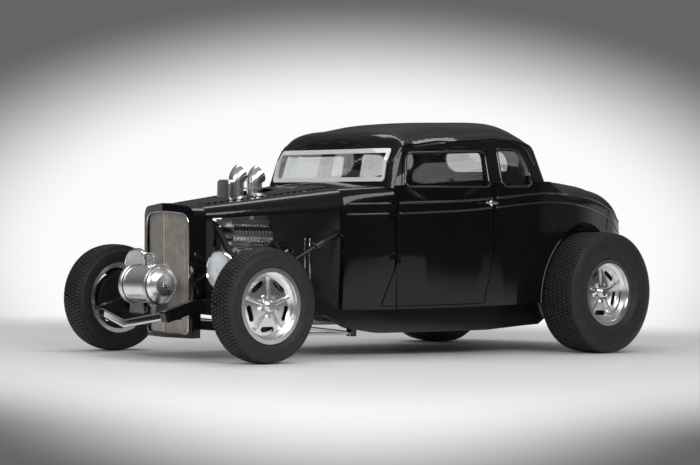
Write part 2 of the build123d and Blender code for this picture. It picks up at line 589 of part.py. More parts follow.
def lower_body(inset):
    skirt = between(plan_outline(LOWER_PLAN, inset + 34), 240, plan_outline(LOWER_PLAN, inset), 620)
    upper = plan_prism(plan_outline(LOWER_PLAN, inset), 620, 1060)
    side = rounded(DECK_SIDE)
    if inset:
        side = offset(side, amount=-inset)
    solid = (skirt + upper) & side_prism(side, -800, 800)
    return solid


def greenhouse(inset):
    foot = plan_outline(GREENHOUSE_FOOT, inset)
    head = plan_outline(GREENHOUSE_HEAD, inset)
    solid = between(foot, BELT_HEIGHT - 6, head, DRIP_HEIGHT) + plan_prism(head, DRIP_HEIGHT, 1460)
    if inset > 0:
        solid = solid + plan_prism(foot, BELT_HEIGHT - 80, BELT_HEIGHT - 6)
    side = rounded(ROOF_SIDE)
    if inset:
        side = offset(side, amount=-inset)
    crown_axis = Axis((0, 0, ROOF_HEIGHT - ROOF_CROWN_RADIUS), (1, 0, 0))
    crown = revolve(Plane.XZ * side, crown_axis, 360)
    return solid & crown


def arch_rows(low_half, low, mid_half, mid, high_half, shoulder, shoulder_radius, crown, crown_radius):
    """Right half of a hood or cowl section: foot, side, shoulder and crown."""
    return [(low_half, low, 0), (mid_half, mid, 0), (high_half, shoulder, shoulder_radius), (0, crown, crown_radius)]


def arch(rows, inset, drop=0):
    """The whole section, drawn in by inset, its foot lowered by drop."""
    moved = [(max(u - inset, 0), v - (inset if k > 1 else 0) - (drop if k == 0 else 0), max(r - inset, 0))
             for k, (u, v, r) in enumerate(rows)]
    crown = moved.pop()
    left = [(-u, v, r) for u, v, r in moved]
    return rounded(moved + [crown] + list(reversed(left)))


COWL_FRONT_ROWS = arch_rows(396, SILL_HEIGHT, 418, 640, 412, 986, 130, 1030, 800)
COWL_REAR_ROWS = arch_rows(558, SILL_HEIGHT, 588, 640, 580, 1004, 60, 1044, 1500)
HOOD_REAR_ROWS = arch_rows(418, 863, 417.8, 868, 412, 986, 130, 1030, 800)
HOOD_FRONT_ROWS = arch_rows(238, 822, 237.8, 827, 234, 888, 62, 912, 400)


def cowl_volume(inset):
    drop = 60 if inset else 0
    front = Plane.YZ.offset(COWL_FRONT) * arch(COWL_FRONT_ROWS, inset, drop)
    rear_x = DOOR_FRONT - 8 - inset
    section = arch(COWL_REAR_ROWS, inset, drop)
    behind = front_prism(section, rear_x - 60, rear_x)
    return loft([Plane.YZ.offset(rear_x) * section, front], ruled=True) + behind


TRIM_RISE = 5.0
DRIP_RISE = 7.0
lower_inner = lower_body(SHELL)
lower_raised = lower_body(-TRIM_RISE)
roof_raised = greenhouse(-DRIP_RISE)
outer_volume = lower_body(0) + greenhouse(0) + cowl_volume(0)
inner_volume = lower_inner + greenhouse(ROOF_SHELL) + cowl_volume(SHELL)
above_sill = block(-2200, COWL_FRONT, -900, 900, SILL_HEIGHT, 1500)

# Belt moulding along the sides and a drip moulding over the doors
BELT_EDGE = [
    # x, z, corner radius: forward along the foot, then back along the top
    (-1010, 940, 0), (-948, 930, 300), (-488, 900, 900), (-198, 876, 900), (254, 855, 900), (480, 846, 10),
    (480, 898, 10), (247, 910, 900), (-197, 928, 900), (-487, 950, 900), (-741, 974, 300), (-874, 1000, 200),
    (-1010, 1022, 0),
]
DRIP_EDGE = [
    # x, z, corner radius: back along the outside, then forward along the inside
    (196, 1160, 0), (118, 1260, 40), (-103, 1286, 500), (-615, 1307, 700), (-848, 1262, 90), (-930, 1140, 0),
    (-914, 1140, 0), (-838, 1250, 80), (-613, 1295, 690), (-103, 1274, 490), (108, 1250, 34), (182, 1160, 0),
]
belt_prism = side_prism(rounded(BELT_EDGE), -800, 800)
belt = (lower_raised + cowl_volume(-TRIM_RISE)) & belt_prism
drip = (roof_raised & side_prism(rounded(DRIP_EDGE), -800, 800)) - block(-1200, 300, -480, 480, 1100, 1400)
skin = ((outer_volume + belt + drip) & above_sill) - inner_volume

# Glass openings
DOOR_WINDOW = [(119, 1192, 26), (166, 1016, 26), (-438, 1018, 26), (-438, 1210, 26)]
QUARTER_WINDOW = [(-570, 1018, 24), (-800, 1018, 26), (-836, 1100, 60), (-770, 1222, 90), (-570, 1226, 24)]
WINDSHIELD = [(-486, 1036, 20), (486, 1036, 20), (470, 1208, 24), (-470, 1208, 24)]
REAR_WINDOW_Z = 1172.0
door_window = side_prism(rounded(DOOR_WINDOW), -900, 900)
quarter_window = side_prism(rounded(QUARTER_WINDOW), -900, 900)
windshield = front_prism(rounded(WINDSHIELD), 120, 420)
rear_window = front_prism(Pos(0, REAR_WINDOW_Z) * RectangleRounded(570, 125, 55), CAB_BACK - 60, CAB_BACK + 250)
skin = skin - door_window - quarter_window - windshield - rear_window

# Rear wheel arches and their inner tubs
tyre_x = REAR_AXLE_X * cos(radians(RAKE)) - REAR_HUB_Z * sin(radians(RAKE))
tyre_z = REAR_AXLE_X * sin(radians(RAKE)) + REAR_HUB_Z * cos(radians(RAKE))
ARCH_CENTRE = (-1385.0, 412.0)
ARCH_RADIUS = 369.0
TYRE_ROOM = REAR_TYRE_DIAMETER / 2 + 18
TUB_Y = 470.0
TUB_WALL = 6.0
TUB_FOOT = 548.0


def arch_face(extra):
    return (Pos(*ARCH_CENTRE) * Circle(ARCH_RADIUS + extra)) + (Pos(tyre_x, tyre_z) * Circle(TYRE_ROOM + extra))


arch_hole = side_prism(arch_face(0), TUB_Y + TUB_WALL, 900)
arch_block = side_prism(arch_face(TUB_WALL), TUB_Y, 900)
tub = (arch_block - arch_hole) & outer_volume & above_sill
tub = tub - block(-2000, -800, 0, TUB_Y + TUB_WALL, 200, TUB_FOOT)
arch_cut = side_prism(arch_face(0), TUB_Y, 900)
skin = skin - arch_cut - mirrored(arch_cut)
ARCH_LIP = 9.0
lip = side_prism(arch_face(ARCH_LIP) - arch_face(0), TUB_Y + 20, 900) & lower_raised & above_sill
lip = lip - lower_inner
skin = skin + tub + mirrored(tub) + lip + mirrored(lip)

# Doors and deck lid cut out along the real gaps
DOOR_FOOT = 303.0
DOOR_OUTLINE = [
    # x, z, corner radius
    (295, DOOR_FOOT, 0), (290, 340, 0), (DOOR_FRONT, 520, 200), (DOOR_FRONT, 905, 40), (196, 1010, 30),
    (140, 1224, 26), (-466, 1240, 26), (DOOR_REAR, 570, 200), (-423, 340, 100), (-420, DOOR_FOOT, 0),
]
door_face = rounded(DOOR_OUTLINE)
LID_FRONT = -1150.0
LID_HALF = 430.0
LID_FOOT = 560.0


def door_region(gap):
    face = offset(door_face, amount=gap)
    return side_prism(face, 430, 900)


def lid_region(gap):
    length = 2300 + LID_FRONT + 2 * gap
    plan = Pos((LID_FRONT - 2300) / 2, 0) * RectangleRounded(length, 2 * LID_HALF + 2 * gap, 50 + gap)
    return plan_prism(plan, LID_FOOT - gap, 1100)


half_gap = DOOR_GAP / 2
door_left = skin & door_region(-half_gap)
deck_lid = skin & lid_region(-half_gap)
skin = skin - door_region(half_gap) - mirrored(door_region(half_gap)) - lid_region(half_gap)

# Hinges: barrel halves on the moving panel and on the body, stacked along the pin line
HINGE_RADIUS = 8.0
HINGE_HALF = 24.0
DOOR_AXIS = (DOOR_FRONT + 6, 604.0)
DOOR_HINGE_Z = (556.0, 800.0)
DOOR_LEAF_DEPTH = 60.0
LID_AXIS = (LID_FRONT + 4, 1053.0)
LID_HINGE_Y = 300.0
door_leaves = []
cowl_leaves = []
for z in DOOR_HINGE_Z:
    x, y = DOOR_AXIS
    door_leaves.append(rod((x, y, z), (x, y, z + HINGE_HALF), HINGE_RADIUS)
                       + block(x - 26, x - 5, y - DOOR_LEAF_DEPTH, y, z + 2, z + HINGE_HALF - 2))
    cowl_leaves.append(rod((x, y, z + HINGE_HALF + FIT), (x, y, z + 2 * HINGE_HALF), HINGE_RADIUS)
                       + block(x, x + 26, y - DOOR_LEAF_DEPTH, y, z + HINGE_HALF + 2, z + 2 * HINGE_HALF - 2))
lid_leaves = []
body_leaves = []
for y in (-LID_HINGE_Y, LID_HINGE_Y):
    x, z = LID_AXIS
    lid_leaves.append(rod((x, y, z), (x, y + HINGE_HALF, z), HINGE_RADIUS)
                      + block(x - 30, x - 3, y + 2, y + HINGE_HALF - 2, z - 24, z))
    body_leaves.append(rod((x, y + HINGE_HALF + FIT, z), (x, y + 2 * HINGE_HALF, z), HINGE_RADIUS)
                       + block(x, x + 34, y + HINGE_HALF + 2, y + 2 * HINGE_HALF - 2, z - 24, z))
door_left = door_left + [leaf - inner_volume for leaf in door_leaves]
deck_lid = deck_lid + [leaf - inner_volume for leaf in lid_leaves]
cowl_fixed = [leaf - inner_volume for leaf in cowl_leaves]
skin = skin + cowl_fixed + [mirrored(leaf) for leaf in cowl_fixed] + [leaf - inner_volume for leaf in body_leaves]

cowl_zone = block(DOOR_FRONT - 60, COWL_FRONT + 10, -900, 900, 200, 996)
cowl_zone = cowl_zone + block(262, COWL_FRONT + 10, -900, 900, 990, 1100)
cowl = skin & cowl_zone
body_shell = skin - cowl
keep("cowl", raked(cowl))
keep("body_shell", raked(body_shell))
keep("door_left", raked(door_left))
keep("door_right", raked(mirrored(door_left)))
keep("deck_lid", raked(deck_lid))


# Glass, drawn as a thin layer inside the skin's thickness and cut to each opening
GLASS_DEPTH = 10.0
glass_back = greenhouse(GLASS_DEPTH + GLASS)
glass_layer = greenhouse(GLASS_DEPTH) - glass_back
door_glass = glass_layer & side_prism(offset(rounded(DOOR_WINDOW), amount=-FIT), 0, 900)
quarter_glass = glass_layer & side_prism(offset(rounded(QUARTER_WINDOW), amount=-FIT), 0, 900)
rear_glass_face = Pos(0, REAR_WINDOW_Z) * RectangleRounded(570 - 2 * FIT, 125 - 2 * FIT, 55)
rear_glass = glass_layer & front_prism(rear_glass_face, CAB_BACK - 60, CAB_BACK + 250)
keep("door_glass_left", raked(door_glass))
keep("door_glass_right", raked(mirrored(door_glass)))
keep("quarter_glass", *both_sides(raked(quarter_glass)))
keep("rear_glass", raked(rear_glass))

# Windshield: a bright frame set in the opening, with its own glass
FRAME_BORDER = 24.0
windshield_fit = offset(rounded(WINDSHIELD), amount=-FIT)
windshield_ring = windshield_fit - offset(rounded(WINDSHIELD), amount=-FRAME_BORDER)
keep("windshield_frame", raked((roof_raised & front_prism(windshield_ring, 120, 420)) - glass_back))
pane = offset(rounded(WINDSHIELD), amount=-FRAME_BORDER - FIT)
keep("windshield_glass", raked(glass_layer & front_prism(pane, 120, 420)))


# Floor, firewall, driveline tunnel, bulkhead and trunk floor as one folded pan

PAN = 6.0
FLOOR_Z = RAIL_TOP + FIT
BULKHEAD_X = -985.0
TRUNK_Z = 548.0
TUNNEL_HALF = 135.0
TUNNEL_TOP = 470.0
FIREWALL_X = COWL_FRONT - 6
pan = block(BULKHEAD_X, FIREWALL_X, -800, 800, FLOOR_Z, FLOOR_Z + PAN)
pan = pan + block(FIREWALL_X - PAN, FIREWALL_X, -800, 800, FLOOR_Z, 1100)
pan = pan + block(BULKHEAD_X - PAN, BULKHEAD_X, -800, 800, FLOOR_Z, 990)
pan = pan + block(-2100, BULKHEAD_X, -800, 800, TRUNK_Z, TRUNK_Z + PAN)
tunnel_rows = [(-TUNNEL_HALF, 250, 0), (TUNNEL_HALF, 250, 0), (TUNNEL_HALF - 20, TUNNEL_TOP, 60),
               (-TUNNEL_HALF + 20, TUNNEL_TOP, 60)]
tunnel = front_prism(offset(rounded(tunnel_rows), amount=PAN), BULKHEAD_X - PAN, FIREWALL_X)
tunnel_hollow = front_prism(rounded(tunnel_rows), BULKHEAD_X - 50, FIREWALL_X + 50)
pan = (pan + (tunnel & block(-2000, 800, -300, 300, FLOOR_Z, 600))) - tunnel_hollow
pan = pan & inner_volume
pan = pan - side_prism(arch_face(TUB_WALL), TUB_Y, 900) - mirrored(side_prism(arch_face(TUB_WALL), TUB_Y, 900))
pan = pan - skin - door_left - mirrored(door_left)
column_hole = rod(WHEEL_CENTRE, JOINT, JACKET_RADIUS + FIT)
floor_pan = raked(pan) - frame_solid - column_hole
keep("floor_pan", floor_pan)


# Hood top, its louvers and the opening round the carburettors

HOOD_BACK = COWL_FRONT + 5


def hood_volume(inset):
    """The hood between grille shell and cowl, its sections worked out at both ends."""
    drop = 40 if inset else 0
    front = Plane.YZ.offset(HOOD_FRONT + inset) * arch(HOOD_FRONT_ROWS, inset, drop)
    rear = Plane.YZ.offset(HOOD_BACK - inset) * arch(HOOD_REAR_ROWS, inset, drop)
    return loft([rear, front], ruled=True)


LOUVERS = 19
LOUVER_PITCH = 43.6
LOUVER_FIRST = 1312.0
hood = hood_volume(0) - hood_volume(SHEET)
LOUVER_ROOF = make_face(Polyline((0, 3), (-24, 3), (-24, -9), (-20, -9), (8, 0), close=True))
LOUVER_MOUTH = make_face(Polyline((-26, -6.5), (-20, -6.5), (-6, 0), (-6, 6), (-21, 6), (-21, -1), (-26, -1), close=True))
scoops = []
mouths = []
for k in range(LOUVERS):
    x = LOUVER_FIRST - k * LOUVER_PITCH
    share = (x - HOOD_BACK) / (HOOD_FRONT - HOOD_BACK)
    half = HOOD_REAR_ROWS[2][0] + share * (HOOD_FRONT_ROWS[2][0] - HOOD_REAR_ROWS[2][0])
    shoulder = HOOD_REAR_ROWS[2][1] + share * (HOOD_FRONT_ROWS[2][1] - HOOD_REAR_ROWS[2][1])
    crown = HOOD_REAR_ROWS[3][1] + share * (HOOD_FRONT_ROWS[3][1] - HOOD_REAR_ROWS[3][1])
    near = Vector(x, 0.38 * half, crown + (shoulder - crown) * 0.38)
    far = Vector(x, 0.66 * half, crown + (shoulder - crown) * 0.66)
    across = (far - near).normalized()
    plane = Plane(origin=near, z_dir=across, x_dir=(1, 0, 0))
    length = (far - near).length
    scoops.append(extrude(plane * LOUVER_ROOF, length))
    mouths.append(Pos(*(across * 4)) * extrude(plane * LOUVER_MOUTH, length - 8))
hood = hood + scoops + [mirrored(scoop) for scoop in scoops]
hood = hood - mouths - [mirrored(mouth) for mouth in mouths]
CARB_OPENING = plan_prism(Pos(922, 0) * RectangleRounded(374, 196, 50), 700, 1200)
hood = hood - CARB_OPENING
keep("hood_top", raked(hood))


# Grille shell and its insert of upright bars

SHELL_OUTLINE = arch_rows(216, 153, 236, 640, 234, 888, 62, 912, 400)
OPENING_ROWS = [
    # y, z, corner radius
    (-190, 176, 26), (190, 176, 26), (200, 700, 40), (192, 850, 60), (0, 866, 200), (-192, 850, 60), (-200, 700, 40),
]
GRILLE_EDGE_X = 1449.0
GRILLE_NOSE_X = 1486.0
SHELL_LIP = 12.0


def nose_plan(rear, drop, half):
    """Plan of the pointed nose, its front edge moved back by drop."""
    rows = [(rear, -half), (rear, half), (GRILLE_EDGE_X - 16 - drop, half), (GRILLE_EDGE_X - drop, 200),
            (GRILLE_NOSE_X - drop, 0), (GRILLE_EDGE_X - drop, -200), (GRILLE_EDGE_X - 16 - drop, -half)]
    return make_face(Polyline(*rows, close=True))


opening = rounded(OPENING_ROWS)
surround_plan = plan_prism(nose_plan(HOOD_FRONT, -SHELL_LIP, 260), 100, 1000)
surround = front_prism(arch(SHELL_OUTLINE, 0), HOOD_FRONT, 1520) & surround_plan
surround = surround - front_prism(opening, 1300, 1550)
surround = surround - block(1300, 1398, -300, 300, 100, 378)
keep("grille_surround", raked(surround) - frame_solid)

GRILLE_BARS = 29
GRILLE_PITCH = 13.4
BAR_WIDTH = 4.0
BAR_DEPTH = 14.0
insert_zone = front_prism(offset(opening, amount=-FIT), 1380, 1550)
slats = plan_prism(nose_plan(1385, 18, 200), 176, 900) - plan_prism(nose_plan(1380, 24, 300), 100, 1000)
braces = [slats & block(1380, 1500, -200, 200, z - 6, z + 6) for z in (184, 400, 620, 850)]
grille = braces[0]
for k in range(GRILLE_BARS):
    y = (k - (GRILLE_BARS - 1) / 2) * GRILLE_PITCH
    front = GRILLE_NOSE_X + (GRILLE_EDGE_X - GRILLE_NOSE_X) * abs(y) / 200 - 4
    grille = grille + block(front - BAR_DEPTH - 4, front, y - BAR_WIDTH / 2, y + BAR_WIDTH / 2, 150, 900)
for brace in braces[1:]:
    grille = grille + brace
grille = grille & insert_zone
keep("grille_insert", raked(grille))

radiator = block(HOOD_FRONT - 66, HOOD_FRONT, -212, 212, 376, 858)
keep("radiator", raked(radiator) - frame_solid)


# Engine: block with sump and gearbox, finned heads, blower, belt drive, carburettors

BLOCK_REAR = 700.0
BLOCK_FRONT = 1120.0
CRANK_Z = 352.0
HEAD_THICKNESS = 44.0
block_rows = [(150, 262, 20), (150, 330, 0), (205, 370, 20), (212, 452, 10), (238, 470, 0), (118, 590, 0), (0, 596, 0)]
left_rows = [(-y, z, r) for y, z, r in reversed(block_rows[:-1])]
engine = front_prism(rounded(block_rows + left_rows), BLOCK_REAR, BLOCK_FRONT)
bell = Plane.YZ.offset(BLOCK_REAR - 110) * (Pos(0, CRANK_Z) * Circle(96))
bell_front = Plane.YZ.offset(BLOCK_REAR) * (Pos(0, CRANK_Z + 10) * Circle(112))
engine = engine + loft([bell, bell_front], ruled=True)
gearbox_low = raked_point(155, 0, 288)[2]
engine = engine + front_prism(Pos(0, 372) * RectangleRounded(178, 150, 30), GEARBOX_TAIL_X + 160, BLOCK_REAR - 108)
gearbox_tail = Pos(0, GEARBOX_Z - 8) * RectangleRounded(116, 116, 30)
engine = engine + front_prism(gearbox_tail, GEARBOX_TAIL_X, GEARBOX_TAIL_X + 162)
engine = engine + block(GEARBOX_TAIL_X, GEARBOX_TAIL_X + 60, -60, 60, gearbox_low - 4, GEARBOX_Z - 60)
for side in (-1, 1):
    mount_y = rail_half_width(1000) - RAIL_THICKNESS
    y0, y1 = sorted((side * 140, side * (mount_y + 4)))
    engine = engine + block(975, 1035, y0, y1, 330, 352)
engine = engine + rod((BLOCK_FRONT, 0, CRANK_Z), (BLOCK_FRONT + 34, 0, CRANK_Z), 40)
engine = engine - frame_solid
keep("engine", engine)

head_plane = Plane(origin=(BLOCK_REAR + 10, 178, 530), x_dir=(1, 0, 0), z_dir=(0, 1, 1))
head = extrude(head_plane * (Pos(200, 0) * RectangleRounded(400, 164, 14)), HEAD_THICKNESS - 14)
for k in range(12):
    fin = Pos(200, -68 + k * 12.4) * Rectangle(392, 5)
    head = head + extrude(head_plane * fin, HEAD_THICKNESS)
head = head - engine
keep("cylinder_heads", *both_sides(head))

BLOWER_X0 = 792.0
BLOWER_X1 = 1082.0
BLOWER_Z = 700.0
manifold = block(BLOWER_X0 - 10, BLOWER_X1 + 10, -92, 92, 590, 630) - engine
for head_side in both_sides(head):
    manifold = manifold - head_side
blower = front_prism(Pos(0, BLOWER_Z) * RectangleRounded(204, 140, 62), BLOWER_X0, BLOWER_X1)
for k in range(11):
    x = BLOWER_X0 + 22 + k * 24.6
    blower = blower + front_prism(Pos(0, BLOWER_Z) * RectangleRounded(216, 152, 68), x - 3, x + 3)
blower = blower + manifold
blower = blower + rod((BLOWER_X1, 0, BLOWER_Z), (BLOWER_X1 + 64, 0, BLOWER_Z), 44)
blower = blower + block(BLOWER_X0 + 6, BLOWER_X1 - 6, -74, 74, BLOWER_Z + 60, BLOWER_Z + 88)
keep("blower", blower)

PULLEY_RADIUS = 72.0
BELT_X = BLOCK_FRONT + 34
pulleys = rod((BLOWER_X1 + 64, 0, BLOWER_Z), (BELT_X + 42, 0, BLOWER_Z), PULLEY_RADIUS)
pulleys = pulleys + rod((BELT_X, 0, CRANK_Z), (BELT_X + 42, 0, CRANK_Z), PULLEY_RADIUS)
span = BLOWER_Z - CRANK_Z
belt_outer = Pos(0, (BLOWER_Z + CRANK_Z) / 2) * (Rot(0, 0, 90) * SlotCenterToCenter(span, 2 * (PULLEY_RADIUS + 6)))
belt_inner = Pos(0, (BLOWER_Z + CRANK_Z) / 2) * (Rot(0, 0, 90) * SlotCenterToCenter(span, 2 * PULLEY_RADIUS))
belt = front_prism(belt_outer - belt_inner, BELT_X + 4, BELT_X + 38)
keep("pulleys", pulleys)
keep("blower_belt", belt - pulleys)

CARB_X = (992.0, 857.0)
CARB_FOOT = BLOWER_Z + 88
SCOOP_FOOT = 966.0
carbs = None
for x in CARB_X:
    carb = block(x - 52, x + 52, -64, 64, CARB_FOOT, CARB_FOOT + 30)
    carb = carb + front_prism(Pos(0, CARB_FOOT + 74) * RectangleRounded(170, 92, 18), x - 34, x + 34)
    carb = carb + block(x - 50, x + 50, -46, 46, CARB_FOOT + 28, SCOOP_FOOT - 40)
    carb = carb + rod((x, 0, SCOOP_FOOT - 60), (x, 0, SCOOP_FOOT), 44)
    carbs = carb if carbs is None else carbs + carb
carbs = carbs + rod((CARB_X[1], 52, CARB_FOOT + 104), (CARB_X[0], 52, CARB_FOOT + 104), 6)
cover = front_prism(Pos(0, 914) * RectangleRounded(118, 208, 26), CARB_X[0] + 57, CARB_X[0] + 98)
carbs = carbs + fillet(cover.edges().filter_by(GeomType.LINE).filter_by(Axis.Z), 8)
carbs = carbs + block(CARB_X[0] + 30, CARB_X[0] + 70, -38, 38, CARB_FOOT + 40, SCOOP_FOOT - 50)
keep("carburettors", carbs)

SCOOP_RADIUS = 46.0
SCOOP_WALL = 4.0
SCOOP_NECK = 36.0
SCOOP_BEND = 64.0
SCOOP_TURN = [(0, 0), (20, 2), (40, 5), (60, 9)]


def horn(radius, foot):
    """An upright tube that turns back and widens towards its mouth, from the scoop's foot."""
    mouth = []
    for turn, growth in SCOOP_TURN:
        angle = radians(turn)
        centre = (-SCOOP_BEND + SCOOP_BEND * cos(angle), 0, SCOOP_NECK + SCOOP_BEND * sin(angle))
        across = Plane(origin=centre, x_dir=(0, 1, 0), z_dir=(-sin(angle), 0, cos(angle)))
        mouth.append(across * Circle(radius + growth))
    return plan_prism(Circle(radius), foot, SCOOP_NECK) + loft(mouth)


scoop = horn(SCOOP_RADIUS, 0) - horn(SCOOP_RADIUS - SCOOP_WALL, 20) + plan_prism(Circle(SCOOP_RADIUS + 9), 0, 8)
scoop = scoop + (horn(SCOOP_RADIUS - SCOOP_WALL + 1, 10) & block(-100, 60, -3, 3, 0, 96))
keep("air_scoops", *[Pos(x, 0, SCOOP_FOOT) * scoop for x in CARB_X])


# Exhaust: a log header and a pipe on each side

EXHAUST_Y = 262.0
PIPE_Z = 205.0
log = rod((1090, 238, 404), (770, 238, 404), 24)
for x in (1060, 910, 790):
    log = log + rod((x, 200, 410), (x, 238, 404), 19)
pipe_path = FilletPolyline((770, 238, 404), (690, 250, 370), (640, EXHAUST_Y, PIPE_Z), (-1010, EXHAUST_Y, PIPE_Z),
                           radius=[45, 70])
pipe = sweep(Plane(origin=pipe_path @ 0, z_dir=pipe_path % 0) * Circle(24), path=pipe_path)
muffler = rod((180, EXHAUST_Y, PIPE_Z), (-320, EXHAUST_Y, PIPE_Z), 48)
exhaust = log + pipe + muffler
exhaust = exhaust - rod((-1020, EXHAUST_Y, PIPE_Z), (-900, EXHAUST_Y, PIPE_Z), 21) - engine - frame_solid
keep("exhaust", *both_sides(exhaust))


# Headlamps

LAMP_X = 1402.0
LAMP_Y = 390.0
LAMP_Z = 503.0
LAMP_RADIUS = 106.0
lamp_rows = [(8, 0), (8, LAMP_RADIUS - 8), (14, LAMP_RADIUS - 8), (14, LAMP_RADIUS), (-6, LAMP_RADIUS),
             (-12, LAMP_RADIUS - 6), (-70, LAMP_RADIUS - 22), (-120, 56), (-142, 22), (-146, 0)]
bucket = revolve(make_face(Polyline(*[(LAMP_X + x, r) for x, r in lamp_rows], close=True)), Axis.X)
bucket = Pos(0, LAMP_Y, LAMP_Z) * bucket
stand = rod((LAMP_X - 60, 325, 350), (LAMP_X - 60, 372, LAMP_Z - 84), 15)
lens_rows = [(8.0, 0), (8.0, LAMP_RADIUS - 8.4), (15, LAMP_RADIUS - 8.4), (24, 60), (27, 0)]
lens = revolve(make_face(Polyline(*[(LAMP_X + x, r) for x, r in lens_rows], close=True)), Axis.X)
lens = Pos(0, LAMP_Y, LAMP_Z) * lens
lamp = bucket + stand - frame_solid
keep("headlamps", *both_sides(lamp))
keep("headlamp_lenses", *both_sides(lens))


# Cab inside: bench seat, dashboard

SEAT_ROWS = [(-80, 480, 40), (-60, 350, 20), (-600, 330, 20), (-760, 860, 40), (-690, 880, 30), (-560, 520, 60)]
seat = side_prism(rounded(SEAT_ROWS), -500, 500)
seat = seat + block(-600, -60, -460, 460, FLOOR_Z + PAN, 352)
seat = seat - front_prism(offset(rounded(tunnel_rows), amount=PAN + 2), -1200, 400)
keep("seat", raked(seat))

dash = front_prism(rounded([(-600, 888, 20), (600, 888, 20), (600, 1010, 30), (-600, 1010, 30)]), 252, 266)
dash = (dash & inner_volume) - skin
keep("dashboard", raked(dash) - column_hole)


# Tail lamps and rear bar

tail_lamp = rod((-1900, 330, 500), (-2030, 330, 500), 36)
keep("tail_lamps", *both_sides(raked((tail_lamp - outer_volume) & block(-2040, -1800, 0, 600, 300, 700))))


for name, piece in PIECES.items():
    moved = Pos(ORIGIN_SHIFT, 0, 0) * piece
    export_step(moved, "parts/" + name + ".step")
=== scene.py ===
# A fenderless, chopped five-window hot rod coupe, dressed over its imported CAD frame.
# Metres. +X is forward, +Y is the car's left, +Z is up, the tyres stand on z = 0.
import json
from math import atan2, cos, pi, radians, sin

import bmesh
import bpy
from mathutils import Matrix, Vector
from mathutils.bvhtree import BVHTree

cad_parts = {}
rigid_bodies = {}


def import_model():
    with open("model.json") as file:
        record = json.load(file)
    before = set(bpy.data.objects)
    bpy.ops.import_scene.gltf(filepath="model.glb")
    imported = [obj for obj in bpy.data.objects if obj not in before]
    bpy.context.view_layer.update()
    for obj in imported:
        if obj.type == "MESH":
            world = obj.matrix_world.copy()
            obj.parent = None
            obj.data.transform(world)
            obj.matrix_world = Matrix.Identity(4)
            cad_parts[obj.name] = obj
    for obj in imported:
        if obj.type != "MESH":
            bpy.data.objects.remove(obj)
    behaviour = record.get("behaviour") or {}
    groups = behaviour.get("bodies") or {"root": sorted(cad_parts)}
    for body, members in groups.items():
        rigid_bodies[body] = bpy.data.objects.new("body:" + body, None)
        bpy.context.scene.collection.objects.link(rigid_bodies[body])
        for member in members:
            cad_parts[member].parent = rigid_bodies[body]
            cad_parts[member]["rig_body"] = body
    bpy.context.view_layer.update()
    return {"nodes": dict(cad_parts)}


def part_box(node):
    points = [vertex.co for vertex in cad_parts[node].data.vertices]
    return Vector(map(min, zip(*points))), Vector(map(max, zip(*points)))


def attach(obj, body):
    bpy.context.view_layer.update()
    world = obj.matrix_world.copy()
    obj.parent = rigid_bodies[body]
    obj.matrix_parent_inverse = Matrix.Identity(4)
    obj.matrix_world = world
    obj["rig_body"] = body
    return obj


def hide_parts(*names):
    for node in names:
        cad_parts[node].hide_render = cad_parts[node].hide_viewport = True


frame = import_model()
nodes = frame["nodes"]


# Camera
# It stands low and far off the car's left front corner, with a long lens, and leans by
# one degree, as worked out from the wheels and the wheelbase.
CAMERA_PLACE = Vector((8.5811, 9.3420, 0.6983))
CAMERA_YAW = radians(-131.8386)
CAMERA_PITCH = radians(0.1273)
CAMERA_ROLL = radians(1.0736)
FILM_WIDTH = 36.0
FOCAL_LENGTH = 105.645

look = Vector((cos(CAMERA_PITCH) * cos(CAMERA_YAW), cos(CAMERA_PITCH) * sin(CAMERA_YAW), sin(CAMERA_PITCH)))
level_right = look.cross(Vector((0, 0, 1))).normalized()
level_up = level_right.cross(look)
camera_right = cos(CAMERA_ROLL) * level_right + sin(CAMERA_ROLL) * level_up
camera_up = cos(CAMERA_ROLL) * level_up - sin(CAMERA_ROLL) * level_right
camera = bpy.data.objects.new("camera", bpy.data.cameras.new("camera"))
bpy.context.scene.collection.objects.link(camera)
stance = Matrix((camera_right, camera_up, -look)).transposed().to_4x4()
camera.matrix_world = Matrix.Translation(CAMERA_PLACE) @ stance
camera.data.sensor_fit = "HORIZONTAL"
camera.data.sensor_width = FILM_WIDTH
camera.data.lens = FOCAL_LENGTH
camera.data.clip_end = 200
bpy.context.scene.camera = camera


# Studio
# A pale floor thins out into surroundings that are white behind the car, with painted shade
# turning them grey in an oval round it where the camera sees them. Soft boxes hang over the roof,
# the nose and the near side, and the side towards the camera is kept dark, as black paint needs.
FLOOR_HALF = 14.0
FLOOR_GREY = 0.70
FLOOR_WHOLE = 2.6
FLOOR_GONE = 5.6
MIDDLE_WHITE = 0.97
CORNER_SHADE_GREY = 0.13
OVAL_WIDTH = 0.195
OVAL_HEIGHT = 0.098
OVAL_DROP = 0.12
OVAL_STARTS = 0.72
OVAL_FULL = 1.30
WALL_WHITE = 0.93
WALL_FADES = (0.03, 0.13)
WALL_ABOVE = 0.05
DARK_SIDE = 0.018
GLOSS_SKY = (0.26, 0.26, 0.28)
PLAIN_LIGHT = 0.5

bpy.context.scene.view_settings.view_transform = "Standard"


def node_of(tree, kind, inputs=None, **values):
    """Add a shader node, and set its plain properties and the values of its inputs."""
    made = tree.nodes.new(kind)
    for name, value in values.items():
        setattr(made, name, value)
    for socket, value in (inputs or {}).items():
        made.inputs[socket].default_value = value
    return made


def wire(tree, *runs):
    """Link nodes: each run is a node, its output, the next node and its input."""
    for source, output, target, socket in runs:
        tree.links.new(source.outputs[output], target.inputs[socket])


def two_tones(tree, low, low_tone, high, high_tone):
    """A colour ramp from one tone at a low place to another at a high one."""
    made = node_of(tree, "ShaderNodeValToRGB")
    for element, place, tone in zip(made.color_ramp.elements, (low, high), (low_tone, high_tone)):
        element.position = place
        element.color = (*tone, 1)
    return made


